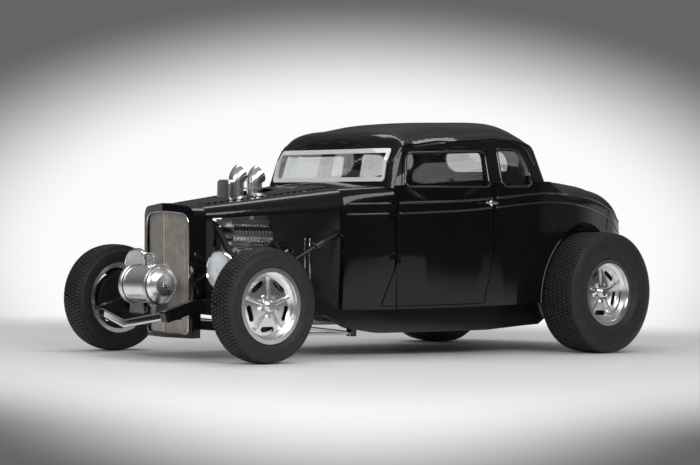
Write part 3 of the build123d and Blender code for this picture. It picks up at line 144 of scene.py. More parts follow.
def new_piece(name, bm):
    """Turn a finished bmesh into an object at the origin."""
    mesh = bpy.data.meshes.new(name)
    bm.to_mesh(mesh)
    bm.free()
    made = bpy.data.objects.new(name, mesh)
    bpy.context.scene.collection.objects.link(made)
    return made


floor_material = bpy.data.materials.new("studio_floor")
floor_material.use_nodes = True
tree = floor_material.node_tree
floor_skin = tree.nodes["Principled BSDF"]
floor_skin.inputs["Base Color"].default_value = (FLOOR_GREY, FLOOR_GREY, FLOOR_GREY, 1)
floor_skin.inputs["Roughness"].default_value = 0.5
floor_place = node_of(tree, "ShaderNodeTexCoord")
from_car = node_of(tree, "ShaderNodeVectorMath", operation="LENGTH")
thinning = node_of(tree, "ShaderNodeMapRange", {"From Min": FLOOR_WHOLE, "From Max": FLOOR_GONE},
                   interpolation_type="SMOOTHSTEP")
unseen = node_of(tree, "ShaderNodeBsdfTransparent")
thinned = node_of(tree, "ShaderNodeMixShader")
wire(tree, (floor_place, "Object", from_car, 0), (from_car, "Value", thinning, "Value"),
     (thinning, "Result", thinned, "Fac"), (floor_skin, "BSDF", thinned, 1), (unseen, "BSDF", thinned, 2),
     (thinned, 0, tree.nodes["Material Output"], "Surface"))
bm = bmesh.new()
bmesh.ops.create_grid(bm, x_segments=1, y_segments=1, size=FLOOR_HALF)
floor = new_piece("floor", bm)
floor.data.materials.append(floor_material)

world = bpy.data.worlds.new("studio")
bpy.context.scene.world = world
world.use_nodes = True
tree = world.node_tree
tree.nodes.clear()
surroundings = node_of(tree, "ShaderNodeTexCoord")
heading = node_of(tree, "ShaderNodeSeparateXYZ")
height_ramp = two_tones(tree, 0.02, (DARK_SIDE, DARK_SIDE, DARK_SIDE), 0.75, GLOSS_SKY)
away = node_of(tree, "ShaderNodeVectorMath", {1: (look.x, look.y, 0)}, operation="DOT_PRODUCT")
behind_ramp = two_tones(tree, 0.15, (0, 0, 0), 0.75, (WALL_WHITE, WALL_WHITE, WALL_WHITE))
low_band = node_of(tree, "ShaderNodeMapRange", {"From Min": WALL_FADES[0], "From Max": WALL_FADES[1],
                                                "To Min": 1.0, "To Max": WALL_ABOVE},
                   interpolation_type="SMOOTHSTEP")
wall_low = node_of(tree, "ShaderNodeVectorMath", operation="SCALE")
seen_by_gloss = node_of(tree, "ShaderNodeMixRGB", {"Fac": 1.0}, blend_type="LIGHTEN")
gloss_background = node_of(tree, "ShaderNodeBackground")
wire(tree, (surroundings, "Generated", heading, 0), (heading, "Z", height_ramp, "Fac"),
     (surroundings, "Generated", away, 0), (away, "Value", behind_ramp, "Fac"),
     (heading, "Z", low_band, "Value"), (behind_ramp, "Color", wall_low, 0),
     (low_band, "Result", wall_low, "Scale"), (height_ramp, "Color", seen_by_gloss, "Color1"),
     (wall_low, 0, seen_by_gloss, "Color2"), (seen_by_gloss, "Color", gloss_background, "Color"))
plain_background = node_of(tree, "ShaderNodeBackground", {"Color": (1, 1, 1, 1), "Strength": PLAIN_LIGHT})
# The camera's own view of the backdrop fades from white to grey in an oval: painted vignette shade.
sideways = node_of(tree, "ShaderNodeVectorMath", {1: camera_right / OVAL_WIDTH}, operation="DOT_PRODUCT")
upwards = node_of(tree, "ShaderNodeVectorMath", {1: camera_up / OVAL_HEIGHT}, operation="DOT_PRODUCT")
dropped = node_of(tree, "ShaderNodeMath", {1: OVAL_DROP}, operation="ADD")
oval = node_of(tree, "ShaderNodeCombineXYZ")
from_middle = node_of(tree, "ShaderNodeVectorMath", operation="LENGTH")
corner_shade_ramp = node_of(tree, "ShaderNodeMapRange", {"From Min": OVAL_STARTS, "From Max": OVAL_FULL,
                                                   "To Min": MIDDLE_WHITE, "To Max": CORNER_SHADE_GREY},
                      interpolation_type="SMOOTHSTEP")
camera_background = node_of(tree, "ShaderNodeBackground")
wire(tree, (surroundings, "Generated", sideways, 0), (surroundings, "Generated", upwards, 0),
     (upwards, "Value", dropped, 0), (sideways, "Value", oval, "X"), (dropped, "Value", oval, "Y"),
     (oval, 0, from_middle, 0), (from_middle, "Value", corner_shade_ramp, "Value"),
     (corner_shade_ramp, "Result", camera_background, "Color"))
path = node_of(tree, "ShaderNodeLightPath")
shiny = node_of(tree, "ShaderNodeMath", operation="MAXIMUM")
first_mix = node_of(tree, "ShaderNodeMixShader")
second_mix = node_of(tree, "ShaderNodeMixShader")
world_output = node_of(tree, "ShaderNodeOutputWorld")
wire(tree, (path, "Is Glossy Ray", shiny, 0), (path, "Is Transmission Ray", shiny, 1),
     (shiny, 0, first_mix, "Fac"), (plain_background, 0, first_mix, 1), (gloss_background, 0, first_mix, 2),
     (path, "Is Camera Ray", second_mix, "Fac"), (first_mix, 0, second_mix, 1),
     (camera_background, 0, second_mix, 2), (second_mix, 0, world_output, "Surface"))

SOFT_BOXES = [
    # name, place, aim, width, length, watts
    ("roof_box", (-0.5, -0.5, 5.2), (0.0, 0.0, 0.0), 6.0, 1.2, 110),
    ("nose_box", (7.0, 2.5, 3.4), (1.2, 0.0, 0.5), 3.0, 1.6, 170),
    ("side_box", (2.0, 7.0, 4.4), (0.0, 0.0, 0.4), 6.0, 2.4, 260),
]
for name, place, aim, width, length, watts in SOFT_BOXES:
    lamp = bpy.data.lights.new(name, "AREA")
    lamp.shape = "RECTANGLE"
    lamp.size = width
    lamp.size_y = length
    lamp.energy = watts
    holder = bpy.data.objects.new(name, lamp)
    holder.location = place
    holder.rotation_euler = (Vector(aim) - Vector(place)).to_track_quat("-Z", "Y").to_euler()
    bpy.context.scene.collection.objects.link(holder)


# Frame rails, axles, steering and front bar
# Pressed and boxed steel rails in hand-rubbed black enamel, plainer black axles and springs,
# and chromed rods, links and bar.
# Every finish below starts from these two effects: a slow drift of tone and a fine grain.
def effect_group(name, inputs, outputs):
    """A shader node group with float or colour sockets, and its input and output nodes."""
    group = bpy.data.node_groups.new(name, "ShaderNodeTree")
    for label, kind, value in inputs:
        socket = group.interface.new_socket(label, in_out="INPUT", socket_type=kind)
        socket.default_value = value
    for label, kind in outputs:
        group.interface.new_socket(label, in_out="OUTPUT", socket_type=kind)
    return group, node_of(group, "NodeGroupInput"), node_of(group, "NodeGroupOutput")


FLOAT = "NodeSocketFloat"
COLOUR = "NodeSocketColor"
VECTOR = "NodeSocketVector"

tone_drift, group_in, group_out = effect_group(
    "tone_drift", [("Vector", VECTOR, (0, 0, 0)), ("Color", COLOUR, (1, 1, 1, 1)), ("Scale", FLOAT, 6.0),
                   ("Amount", FLOAT, 0.1)], [("Color", COLOUR)])
cloud = node_of(tone_drift, "ShaderNodeTexNoise", {"Detail": 4.0})
spread = node_of(tone_drift, "ShaderNodeMapRange",
                 {"From Min": 0.3, "From Max": 0.7, "To Min": -1.0, "To Max": 1.0})
strength = node_of(tone_drift, "ShaderNodeMath", {2: 1.0}, operation="MULTIPLY_ADD")
tinted = node_of(tone_drift, "ShaderNodeVectorMath", operation="SCALE")
wire(tone_drift, (group_in, "Vector", cloud, "Vector"), (group_in, "Scale", cloud, "Scale"),
     (cloud, "Fac", spread, "Value"), (spread, "Result", strength, 0), (group_in, "Amount", strength, 1),
     (group_in, "Color", tinted, 0), (strength, 0, tinted, "Scale"), (tinted, 0, group_out, "Color"))

fine_grain, group_in, group_out = effect_group(
    "fine_grain", [("Vector", VECTOR, (0, 0, 0)), ("Scale", FLOAT, 300.0), ("Roughness", FLOAT, 0.3),
                   ("Spread", FLOAT, 0.05)], [("Roughness", FLOAT), ("Height", FLOAT)])
speckle = node_of(fine_grain, "ShaderNodeTexNoise", {"Detail": 3.0})
centred = node_of(fine_grain, "ShaderNodeMath", {1: 0.5}, operation="SUBTRACT")
varied = node_of(fine_grain, "ShaderNodeMath", operation="MULTIPLY_ADD")
wire(fine_grain, (group_in, "Vector", speckle, "Vector"), (group_in, "Scale", speckle, "Scale"),
     (speckle, "Fac", centred, 0), (centred, 0, varied, 0), (group_in, "Spread", varied, 1),
     (group_in, "Roughness", varied, 2), (varied, 0, group_out, "Roughness"),
     (speckle, "Fac", group_out, "Height"))


def finish(name, colour, metallic=0.0, roughness=0.3, coat=0.0, coat_roughness=0.03, drift=0.08,
           drift_scale=5.0, grain_scale=300.0, grain_spread=0.06, bump=0.0, stretch=(1, 1, 1), **sockets):
    """A finish with its own drift of tone and its own grain, stretched along an axis where it is brushed."""
    made = bpy.data.materials.new(name)
    made.use_nodes = True
    tree = made.node_tree
    skin = tree.nodes["Principled BSDF"]
    place = node_of(tree, "ShaderNodeTexCoord")
    turned = node_of(tree, "ShaderNodeMapping", {"Scale": stretch})
    drifting = node_of(tree, "ShaderNodeGroup", {"Color": (*colour, 1), "Scale": drift_scale,
                                                 "Amount": drift}, node_tree=tone_drift)
    grain = node_of(tree, "ShaderNodeGroup", {"Scale": grain_scale, "Roughness": roughness,
                                              "Spread": grain_spread}, node_tree=fine_grain)
    wire(tree, (place, "Object", turned, "Vector"), (place, "Object", drifting, "Vector"),
         (drifting, "Color", skin, "Base Color"), (turned, "Vector", grain, "Vector"),
         (grain, "Roughness", skin, "Roughness"))
    if bump:
        relief = node_of(tree, "ShaderNodeBump", {"Strength": bump, "Distance": 0.001})
        wire(tree, (grain, "Height", relief, "Height"), (relief, "Normal", skin, "Normal"))
    skin.inputs["Metallic"].default_value = metallic
    skin.inputs["Coat Weight"].default_value = coat
    skin.inputs["Coat Roughness"].default_value = coat_roughness
    for socket, value in sockets.items():
        skin.inputs[socket.replace("_", " ")].default_value = value
    return made


CUT_LENGTHS = (0.30, 0.15, 0.075, 0.04, 0.03, 0.03)


def shade(bm, sharpest):
    """Smooth every face, with a sharp line where two meet at more than an angle."""
    for face in bm.faces:
        face.smooth = True
    for edge in bm.edges:
        edge.smooth = len(edge.link_faces) == 2 and edge.calc_face_angle(pi) < radians(sharpest)


def smooth_copy(name, sharpest=30.0, bevel=0.0, reshape=None, reach=None):
    """A merged copy of a CAD node, smooth up to an angle, with softened edges where asked.

    Where a reshape is given, long edges inside its reach are cut first, then each corner moves.
    """
    source = nodes[name]
    bm = bmesh.new()
    bm.from_mesh(source.data)
    bmesh.ops.remove_doubles(bm, verts=bm.verts, dist=0.00002)
    shade(bm, sharpest)
    if reshape:
        for length in CUT_LENGTHS:
            long_edges = [edge for edge in bm.edges if edge.calc_length() > length and reach(edge)]
            if long_edges:
                bmesh.ops.subdivide_edges(bm, edges=long_edges, cuts=1)
                bmesh.ops.triangulate(bm, faces=[face for face in bm.faces if len(face.verts) > 4])
        for vert in bm.verts:
            vert.co = reshape(vert.co)
    for face in bm.faces:
        face.smooth = True
        face.material_index = 0
    made = new_piece(name + "_dressed", bm)
    if bevel:
        softened = made.modifiers.new("soft_edges", "BEVEL")
        softened.width = bevel
        softened.segments = 2
        softened.limit_method = "ANGLE"
        softened.angle_limit = radians(sharpest)
        softened.harden_normals = True
        softened.use_clamp_overlap = True
    return made


def dress(name, material, slot_name, **shaping):
    """Put a smooth copy of a CAD node in its place, in the given finish."""
    made = smooth_copy(name, **shaping)
    made.data.materials.clear()
    made.data.materials.append(material)
    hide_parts(name)
    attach(made, nodes[name]["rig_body"])
    return made


body_black = finish("black_body_paint", (0.0035, 0.0035, 0.0042), roughness=0.25, coat=0.6,
                    coat_roughness=0.02, drift=0.15, drift_scale=2.0, grain_scale=900.0,
                    grain_spread=0.05, Specular_IOR_Level=0.1)
frame_black = finish("black_frame_paint", (0.006, 0.006, 0.0068), roughness=0.28, coat=0.9,
                     coat_roughness=0.04, drift=0.2, drift_scale=8.0,
                     grain_scale=700.0, Specular_IOR_Level=0.2)
axle_black = finish("black_axle_paint", (0.010, 0.010, 0.011), roughness=0.35, coat=0.5, coat_roughness=0.1,
                    drift=0.25, drift_scale=14.0, grain_scale=420.0, bump=0.04)
chrome = finish("bright_chrome", (0.86, 0.87, 0.88), metallic=1.0, roughness=0.05, drift=0.04,
                drift_scale=9.0, grain_scale=260.0, grain_spread=0.05)
dress("frame_rails", frame_black, "frame_paint", bevel=0.003)
for name in ("front_axle", "leaf_springs", "rear_axle", "knuckle_left", "knuckle_right", "pitman_arm",
             "steering_column"):
    dress(name, axle_black, "chassis_steel", bevel=0.0015)
for name in ("radius_rods", "tie_rod", "drag_link"):
    dress(name, chrome, "bright_trim", bevel=0.0015)
BAR_DEEPER = 1.7
bar_low, bar_high = (corner.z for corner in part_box("front_bar"))
bar_middle = 0.5 * (bar_low + bar_high)


def deeper(point):
    """The front bar is a flat blade in the photo, so its depth is drawn out about its middle."""
    return Vector((point.x, point.y, bar_middle + BAR_DEEPER * (point.z - bar_middle)))


dress("front_bar", chrome, "bright_trim", bevel=0.0015, reshape=deeper, reach=lambda edge: False)


# Exhaust
# Welded steel tube from each head down to a muffler and on to a plain open end, dulled by
# heat and hung under the floor.
exhaust_steel = finish("heat_dulled_steel", (0.36, 0.34, 0.32), metallic=1.0, roughness=0.38, drift=0.3,
                       drift_scale=7.0, grain_scale=160.0, grain_spread=0.2, bump=0.05)
dress("exhaust", exhaust_steel, "exhaust_steel", bevel=0.001)


# Tyres
# Moulded black rubber: a smooth sidewall with two fine ribs and a tread cut by
# circumferential grooves, with short cross cuts in every rib and in the shoulders.
TYRE_KINDS = {
    "front": dict(radius=0.3155, width=0.165, rim=0.134, place=(1.466, 0.701), ribs=5, cuts=90),
    "rear": dict(radius=0.380, width=0.298, rim=0.226, place=(-1.226, 0.7225), ribs=7, cuts=100),
}
SIDES = (("left", 1), ("right", -1))
BEAD_RADIUS = 0.1908
RIM_WALL = 0.006
TREAD_EDGE = 0.855
SHOULDER_EDGE = 0.80
CUTS_END = 0.89
CROWN_FALL = 0.010
GROOVE_TAPER = 0.0008
GROOVE = 0.0045
GROOVE_DEPTH = 0.007
CUT_DEPTH = 0.005
tyre_rubber = finish("tyre_rubber", (0.020, 0.019, 0.020), roughness=0.55, drift=0.22, drift_scale=24.0,
                     grain_scale=650.0, grain_spread=0.25, bump=0.15, Specular_IOR_Level=0.3)


def ready_piece(name, bm, material, body):
    """Turn a finished bmesh into a piece in its finish, riding on its body."""
    made = new_piece(name, bm)
    made.data.materials.append(material)
    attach(made, body)
    return made


def tyre_profile(kind):
    """One side of the outline, from the bead to the edge of the tread, as y and radius."""
    half = kind["width"] / 2
    outer = kind["radius"]
    side = outer - BEAD_RADIUS
    bead = kind["rim"] / 2 - RIM_WALL - 0.0003
    return [
        (bead - 0.012, BEAD_RADIUS - 0.0005), (bead, BEAD_RADIUS + 0.001),
        (bead + 0.001, BEAD_RADIUS + 0.019), (bead + 0.004, BEAD_RADIUS + 0.023),
        (half - 0.009, BEAD_RADIUS + 0.26 * side),
        (half - 0.0035, BEAD_RADIUS + 0.40 * side), (half - 0.0002, BEAD_RADIUS + 0.52 * side),
        (half - 0.0012, BEAD_RADIUS + 0.62 * side), (half - 0.0002, BEAD_RADIUS + 0.64 * side),
        (half - 0.0035, BEAD_RADIUS + 0.73 * side), (half - 0.009, BEAD_RADIUS + 0.83 * side),
        (0.90 * half, BEAD_RADIUS + 0.90 * side), (0.875 * half, BEAD_RADIUS + 0.93 * side),
    ]


def tread_radius(kind, y):
    """The crown of the tread falls away towards the shoulders."""
    return kind["radius"] - CROWN_FALL * (abs(y) / (kind["width"] / 2)) ** 2.4


def turn_of(point):
    """The angle of a point round the Y axis, from 0 to a full turn."""
    return atan2(point.z, point.x) % (2 * pi)


def tyre_mesh(kind):
    """Turn the outline round the hub, then cut the ribs across by pushing every fourth face in."""
    edge = TREAD_EDGE * kind["width"] / 2
    pitch = 2 * edge / kind["ribs"]
    tread = []
    for rib in range(kind["ribs"]):
        left = edge - rib * pitch
        right = left - pitch
        if rib:
            left -= GROOVE / 2
        if rib < kind["ribs"] - 1:
            right += GROOVE / 2
        tread.append((left, tread_radius(kind, left)))
        tread.append((0.5 * (left + right), tread_radius(kind, 0.5 * (left + right))))
        tread.append((right, tread_radius(kind, right)))
        if rib < kind["ribs"] - 1:
            tread.append((right - GROOVE_TAPER, tread_radius(kind, right) - GROOVE_DEPTH))
            tread.append((right - GROOVE + GROOVE_TAPER, tread_radius(kind, right) - GROOVE_DEPTH))
    side = tyre_profile(kind)
    outline = side + tread + [(-y, radius) for y, radius in reversed(side)]
    bm = bmesh.new()
    corners = [bm.verts.new((0, y, radius)) for y, radius in outline]
    for first, second in zip(corners, corners[1:]):
        bm.edges.new((first, second))
    steps = kind["cuts"] * 4
    bmesh.ops.spin(bm, geom=bm.verts[:] + bm.edges[:], cent=(0, 0, 0), axis=(0, 1, 0), angle=2 * pi,
                   steps=steps, use_merge=True)
    bmesh.ops.recalc_face_normals(bm, faces=bm.faces)
    shoulder = SHOULDER_EDGE * kind["width"] / 2
    cut_faces = []
    for face in bm.faces:
        middle = face.calc_center_median()
        radius = (middle.x ** 2 + middle.z ** 2) ** 0.5
        if radius < tread_radius(kind, middle.y) - 0.004 or abs(middle.y) > CUTS_END * kind["width"] / 2:
            continue
        turn = (turn_of(middle) / (2 * pi)) * steps
        offset = 0 if abs(middle.y) > shoulder else int(round(middle.y / pitch)) * 2
        if int(turn + offset) % 4 == 0:
            cut_faces.append(face)
    made = bmesh.ops.extrude_discrete_faces(bm, faces=cut_faces)
    for face in made["faces"]:
        middle = face.calc_center_median()
        inward = Vector((-middle.x, 0, -middle.z)).normalized()
        for vert in face.verts:
            vert.co += inward * CUT_DEPTH
    shade(bm, 35.0)
    return bm


for end, kind in TYRE_KINDS.items():
    for side, sign in SIDES:
        bm = tyre_mesh(kind)
        x, y = kind["place"]
        bmesh.ops.translate(bm, verts=bm.verts, vec=(x, sign * y, kind["radius"]))
        tyre = ready_piece("tyre_%s_%s_treaded" % (end, side), bm, tyre_rubber,
                           "wheel_%s_%s" % (end, side))
        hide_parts("tyre_%s_%s" % (end, side))


# Wheels
# Cast and polished aluminium, with a rolled lip, five raised spokes with slots between them,
# lug nuts in pockets, a plain cap and a rubber valve stem. Behind the spokes the wheel's own
# faces are painted near black, as painted shade in the recess.
polished = finish("polished_aluminium", (0.90, 0.90, 0.91), metallic=1.0, roughness=0.24, drift=0.05,
                  drift_scale=12.0, grain_scale=220.0, grain_spread=0.08)
painted_recess_shade = finish("painted_recess_shade", (0.012, 0.012, 0.012), roughness=0.5, drift=0.3, drift_scale=20.0,
                    bump=0.1)
FACE_INSETS = {"front": 0.030, "rear": 0.074}
BARREL_INSIDE = 0.172
SPOKE_DEPTH = 0.028
STEM_ALONG = 0.118
STEM_UP = 0.135
for end, kind in TYRE_KINDS.items():
    for side, sign in SIDES:
        wheel = dress("wheel_%s_%s" % (end, side), polished, "wheel_polish", bevel=0.0022, sharpest=24.0)
        wheel.data.materials.append(painted_recess_shade)
        x, y = kind["place"]
        wheel_face = kind["rim"] / 2 - FACE_INSETS[end]
        # Faces deep in the barrel, behind the spokes, take the near-black painted shade.
        for face in wheel.data.polygons:
            depth = wheel_face - (sign * face.center.y - y)
            reach = ((face.center.x - x) ** 2 + (face.center.z - kind["radius"]) ** 2) ** 0.5
            if depth > SPOKE_DEPTH and reach < BARREL_INSIDE:
                face.material_index = 1
        bm = bmesh.new()
        stem = Vector((x + STEM_ALONG, sign * (y + kind["rim"] / 2 - 0.020), kind["radius"] + STEM_UP))
        turned = Matrix.Translation(stem) @ Matrix.Rotation(radians(-90 * sign), 4, "X")
        bmesh.ops.create_cone(bm, cap_ends=True, segments=12, radius1=0.0045, radius2=0.003, depth=0.034,
                              matrix=turned)
        for face in bm.faces:
            face.smooth = True
        ready_piece("valve_stem_%s_%s" % (end, side), bm, tyre_rubber,
                    "wheel_%s_%s" % (end, side))


# Fuel tank and its rings
# A spun aluminium barrel polished across, held by two milled rings over black rubber strips,
# with a turned boss on each end and a domed cap with a lever on top.
tank_skin = finish("turned_tank", (0.93, 0.93, 0.94), metallic=1.0, roughness=0.27, drift=0.06,
                   drift_scale=10.0, grain_scale=120.0, grain_spread=0.12, bump=0.03, stretch=(1, 14, 1))
ring_skin = finish("milled_rings", (0.80, 0.80, 0.81), metallic=1.0, roughness=0.28, drift=0.08,
                   grain_scale=400.0)
TANK_MIDDLE = Vector((1.732, 0.0, 0.412))
RING_PLACE = 0.111
TANK_HALF = 0.1695
CAP_PLACE = Vector((-0.008, 0, 0.157))
LEVER_SIZE = (0.094, 0.013, 0.006)
strip_rubber = finish("strip_rubber", (0.012, 0.012, 0.012), roughness=0.7, drift=0.2, bump=0.15)
dress("fuel_tank", tank_skin, "tank_polish", bevel=0.003)
dress("tank_rings", ring_skin, "tank_polish", bevel=0.002)


def turned_piece(name, rows, place, axis, material, body="chassis", steps=64, sharpest=30.0):
    """Spin rows of distance along the axis and radius about it into one closed ring or disc."""
    bm = bmesh.new()
    along = Vector(axis).normalized()
    out = along.orthogonal().normalized()
    corners = [bm.verts.new(along * reach + out * radius) for reach, radius in rows]
    for first, second in zip(corners, corners[1:] + corners[:1]):
        if first.co != second.co:
            bm.edges.new((first, second))
    bmesh.ops.spin(bm, geom=bm.verts[:] + bm.edges[:], cent=(0, 0, 0), axis=along, angle=2 * pi,
                   steps=steps, use_merge=True)
    bmesh.ops.remove_doubles(bm, verts=bm.verts, dist=0.00001)
    bmesh.ops.recalc_face_normals(bm, faces=bm.faces)
    shade(bm, sharpest)
    bmesh.ops.translate(bm, verts=bm.verts, vec=place)
    ready_piece(name, bm, material, body)


def block(bm, place, size):
    """Add a block of a size along each axis, moved and turned to its place."""
    bmesh.ops.create_cube(bm, size=1.0, matrix=place @ Matrix.Diagonal((*size, 1)))


for side, sign in SIDES:
    strip_rows = [(-0.0135, 0.1052), (0.0135, 0.1052), (0.0135, 0.1078), (-0.0135, 0.1078)]
    turned_piece("tank_strip_" + side, strip_rows, TANK_MIDDLE + Vector((0, sign * RING_PLACE, 0)),
                 (0, 1, 0), strip_rubber, steps=96)
    end_rows = [(0.0, 0.0), (0.0, 0.022), (0.004, 0.020), (0.006, 0.012), (0.006, 0.0)]
    turned_piece("tank_end_boss_" + side, end_rows, TANK_MIDDLE + Vector((0, sign * TANK_HALF, 0)),
                 (0, sign, 0), tank_skin, steps=48)
cap_top = TANK_MIDDLE + CAP_PLACE
cap_rows = [(0.0, 0.0), (0.0, 0.035), (0.005, 0.033), (0.009, 0.022), (0.010, 0.0)]
turned_piece("filler_cap_dome", cap_rows, cap_top, (0, 0, 1), chrome, steps=48)
bm = bmesh.new()
lever = Matrix.Translation(cap_top + Vector((0.004, 0, 0.016))) @ Matrix.Rotation(radians(-6), 4, "Y")
block(bm, lever, LEVER_SIZE)
bmesh.ops.bevel(bm, geom=bm.edges[:], offset=0.002, segments=2, profile=0.5, affect="EDGES", material=-1)
ready_piece("filler_cap_lever", bm, chrome, "chassis")


# Grille
# Upright stainless bars, slightly warm, that meet in a ridge, behind a black shell whose
# opening has a thin bright bead. The radiator's core stands behind them.
bar_steel = finish("stainless_bars", (0.86, 0.81, 0.75), metallic=0.9, roughness=0.38, drift=0.12,
                   drift_scale=20.0, grain_scale=260.0, grain_spread=0.12, stretch=(1, 1, 0.06))
GRILLE_HALF = 0.200
NOSE_X = 1.486
NOSE_SWEEP = 0.037
SHELL_LIP = 0.012
EDGE_BEAD = 0.0032
FINE_BARS = 28
BAR_PITCH = 0.0134
BAR_FOOT = 0.178
BAR_TOP = 0.864
RIDGE_MIDDLE = 0.521
OPENING_EDGE = [
    # y, z, corner radius
    (-0.190, 0.176, 0.026), (0.190, 0.176, 0.026), (0.200, 0.700, 0.040), (0.192, 0.850, 0.060),
    (0.0, 0.866, 0.200), (-0.192, 0.850, 0.060), (-0.200, 0.700, 0.040),
]
RAKE = radians(1.5)
BODY_SHIFT = 0.120


def on_body(x, y, z):
    """A point of the level body, tipped nose down and moved as the body is."""
    return Vector((x * cos(RAKE) + z * sin(RAKE) + BODY_SHIFT, y, -x * sin(RAKE) + z * cos(RAKE)))


def tipped(point):
    """A place at a point, turned as the body is."""
    return Matrix.Translation(point) @ Matrix.Rotation(RAKE, 4, "Y")


def nose_front(y, z):
    """A point on the pointed front face of the grille shell."""
    return on_body(NOSE_X + SHELL_LIP - NOSE_SWEEP * abs(y) / GRILLE_HALF, y, z)


def soft_corners(corners, steps=6):
    """Points along a closed flat outline whose corners are rounded by their radii."""
    points = []
    count = len(corners)
    for k, (u, v, radius) in enumerate(corners):
        here = Vector((u, v))
        before = Vector(corners[k - 1][:2]) - here
        after = Vector(corners[(k + 1) % count][:2]) - here
        reach = min(radius, 0.45 * before.length, 0.45 * after.length)
        start = here + before.normalized() * reach
        end = here + after.normalized() * reach
        for step in range(steps + 1):
            share = step / steps
            points.append(start * (1 - share) ** 2 + here * 2 * share * (1 - share) + end * share ** 2)
    return points


def bent_tube(name, points, radius, material, body="chassis", sides=10, closed=False):
    """Bridge a row of rings along a path of points into one tube with closed ends."""
    bm = bmesh.new()
    count = len(points)
    rings = []
    for k, point in enumerate(points):
        before = points[k - 1] if k or closed else point
        after = points[(k + 1) % count] if k + 1 < count or closed else point
        turned = (after - before).to_track_quat("Z", "Y").to_matrix().to_4x4()
        ring = bmesh.ops.create_circle(bm, segments=sides, radius=radius,
                                       matrix=Matrix.Translation(point) @ turned)
        rings.append(list(dict.fromkeys(edge for vert in ring["verts"] for edge in vert.link_edges)))
    pairs = list(zip(rings, rings[1:])) + ([(rings[-1], rings[0])] if closed else [])
    for first, second in pairs:
        bmesh.ops.bridge_loops(bm, edges=first + second)
    if not closed:
        for ring in (rings[0], rings[-1]):
            bmesh.ops.holes_fill(bm, edges=ring, sides=sides)
    bmesh.ops.recalc_face_normals(bm, faces=bm.faces)
    for face in bm.faces:
        face.smooth = len(face.verts) == 4
    ready_piece(name, bm, material, body)


dress("grille_insert", bar_steel, "grille_bars")
dress("grille_surround", body_black, "body_paint", bevel=0.004)
edge_points = [nose_front(p.x, p.y) for p in soft_corners(OPENING_EDGE)]
bent_tube("grille_edge_bead", edge_points, EDGE_BEAD, chrome, closed=True)
bm = bmesh.new()
for k in range(FINE_BARS):
    y = (k + 0.5 - FINE_BARS / 2) * BAR_PITCH
    front = NOSE_X - NOSE_SWEEP * abs(y) / GRILLE_HALF - 0.006
    top = BAR_TOP - 0.014 * (abs(y) / GRILLE_HALF) ** 2
    middle = on_body(front - 0.005, y, 0.5 * (BAR_FOOT + top))
    block(bm, tipped(middle), (0.010, 0.0026, top - BAR_FOOT - 0.012))
block(bm, tipped(on_body(NOSE_X + 0.001, 0.0, RIDGE_MIDDLE)), (0.008, 0.007, 0.670))
ready_piece("grille_fine_bars", bm, bar_steel, "chassis")
core_black = finish("radiator_core", (0.03, 0.03, 0.032), metallic=0.4, roughness=0.5, drift=0.2,
                    grain_scale=500.0, bump=0.1, stretch=(1, 6, 1))
dress("radiator", core_black, "radiator_core", bevel=0.003)


# Headlamps
# Chromed buckets on short stalks, with a rolled rim, a rippled clear lens, and a bright bowl
# and a bulb behind it.
lamp_glass = finish("lamp_glass", (0.86, 0.88, 0.90), roughness=0.12, drift=0.03, grain_scale=30.0,
                    grain_spread=0.05, bump=0.6, stretch=(1, 14, 0.3), Transmission_Weight=0.55, IOR=1.45)
LAMP_PLACE = Vector((1.522, 0.390, 0.503))
BULB_RADIUS = 0.011
reflector = finish("lamp_reflector", (0.88, 0.89, 0.90), metallic=1.0, roughness=0.12, drift=0.03,
                   grain_scale=200.0)
bulb_glass = finish("bulb_glass", (0.95, 0.94, 0.90), roughness=0.15, drift=0.03, grain_scale=200.0, coat=1.0)


def on_side(point, sign):
    """A point of the left side, or its mirror image on the right."""
    return Vector((point.x, sign * point.y, point.z))


dress("headlamps", chrome, "bright_trim", bevel=0.002)
dress("headlamp_lenses", lamp_glass, "lamp_glass")
for side, sign in SIDES:
    place = on_side(LAMP_PLACE, sign)
    rim_rows = [(0.012, 0.0985), (0.018, 0.0990), (0.021, 0.1020), (0.019, 0.1060), (0.008, 0.1085),
                (-0.006, 0.1085), (-0.006, 0.1055), (0.008, 0.1055)]
    turned_piece("lamp_rim_" + side, rim_rows, place, (1, 0, 0), chrome, steps=72)
    bowl_rows = [(0.0082, 0.0), (0.0084, 0.016), (0.0086, 0.040), (0.0090, 0.066), (0.0096, 0.088),
                 (0.0105, 0.097), (0.0081, 0.097), (0.0080, 0.0)]
    turned_piece("lamp_bowl_" + side, bowl_rows, place, (1, 0, 0), reflector, steps=72)
    bulb_rows = [(0.010, 0.0), (0.010, BULB_RADIUS), (0.015, BULB_RADIUS), (0.019, 0.007), (0.0205, 0.0)]
    turned_piece("lamp_bulb_" + side, bulb_rows, place, (1, 0, 0), bulb_glass, steps=24)


# Engine
# Black-enamelled block and gearbox, with polished finned heads, a polished ribbed blower and its
# belt and pulleys. Nuts and plugs stand on the heads, and leads and hoses run forward from them.
engine_enamel = finish("engine_enamel", (0.022, 0.022, 0.024), roughness=0.34, coat=0.4, coat_roughness=0.15,
                       drift=0.25, drift_scale=16.0, grain_scale=240.0, bump=0.12)
cast_bright = finish("polished_castings", (0.85, 0.85, 0.86), metallic=1.0, roughness=0.24, drift=0.1,
                     drift_scale=18.0, grain_scale=200.0, grain_spread=0.15, bump=0.05)
belt_rubber = finish("belt_rubber", (0.018, 0.018, 0.018), roughness=0.7, drift=0.2, bump=0.2)
dress("engine", engine_enamel, "engine_paint", bevel=0.002)
dress("cylinder_heads", cast_bright, "head_polish", bevel=0.001)
dress("blower", cast_bright, "blower_cast", bevel=0.0012)
dress("pulleys", chrome, "bright_trim", bevel=0.002)
dress("blower_belt", belt_rubber, "belt_rubber")
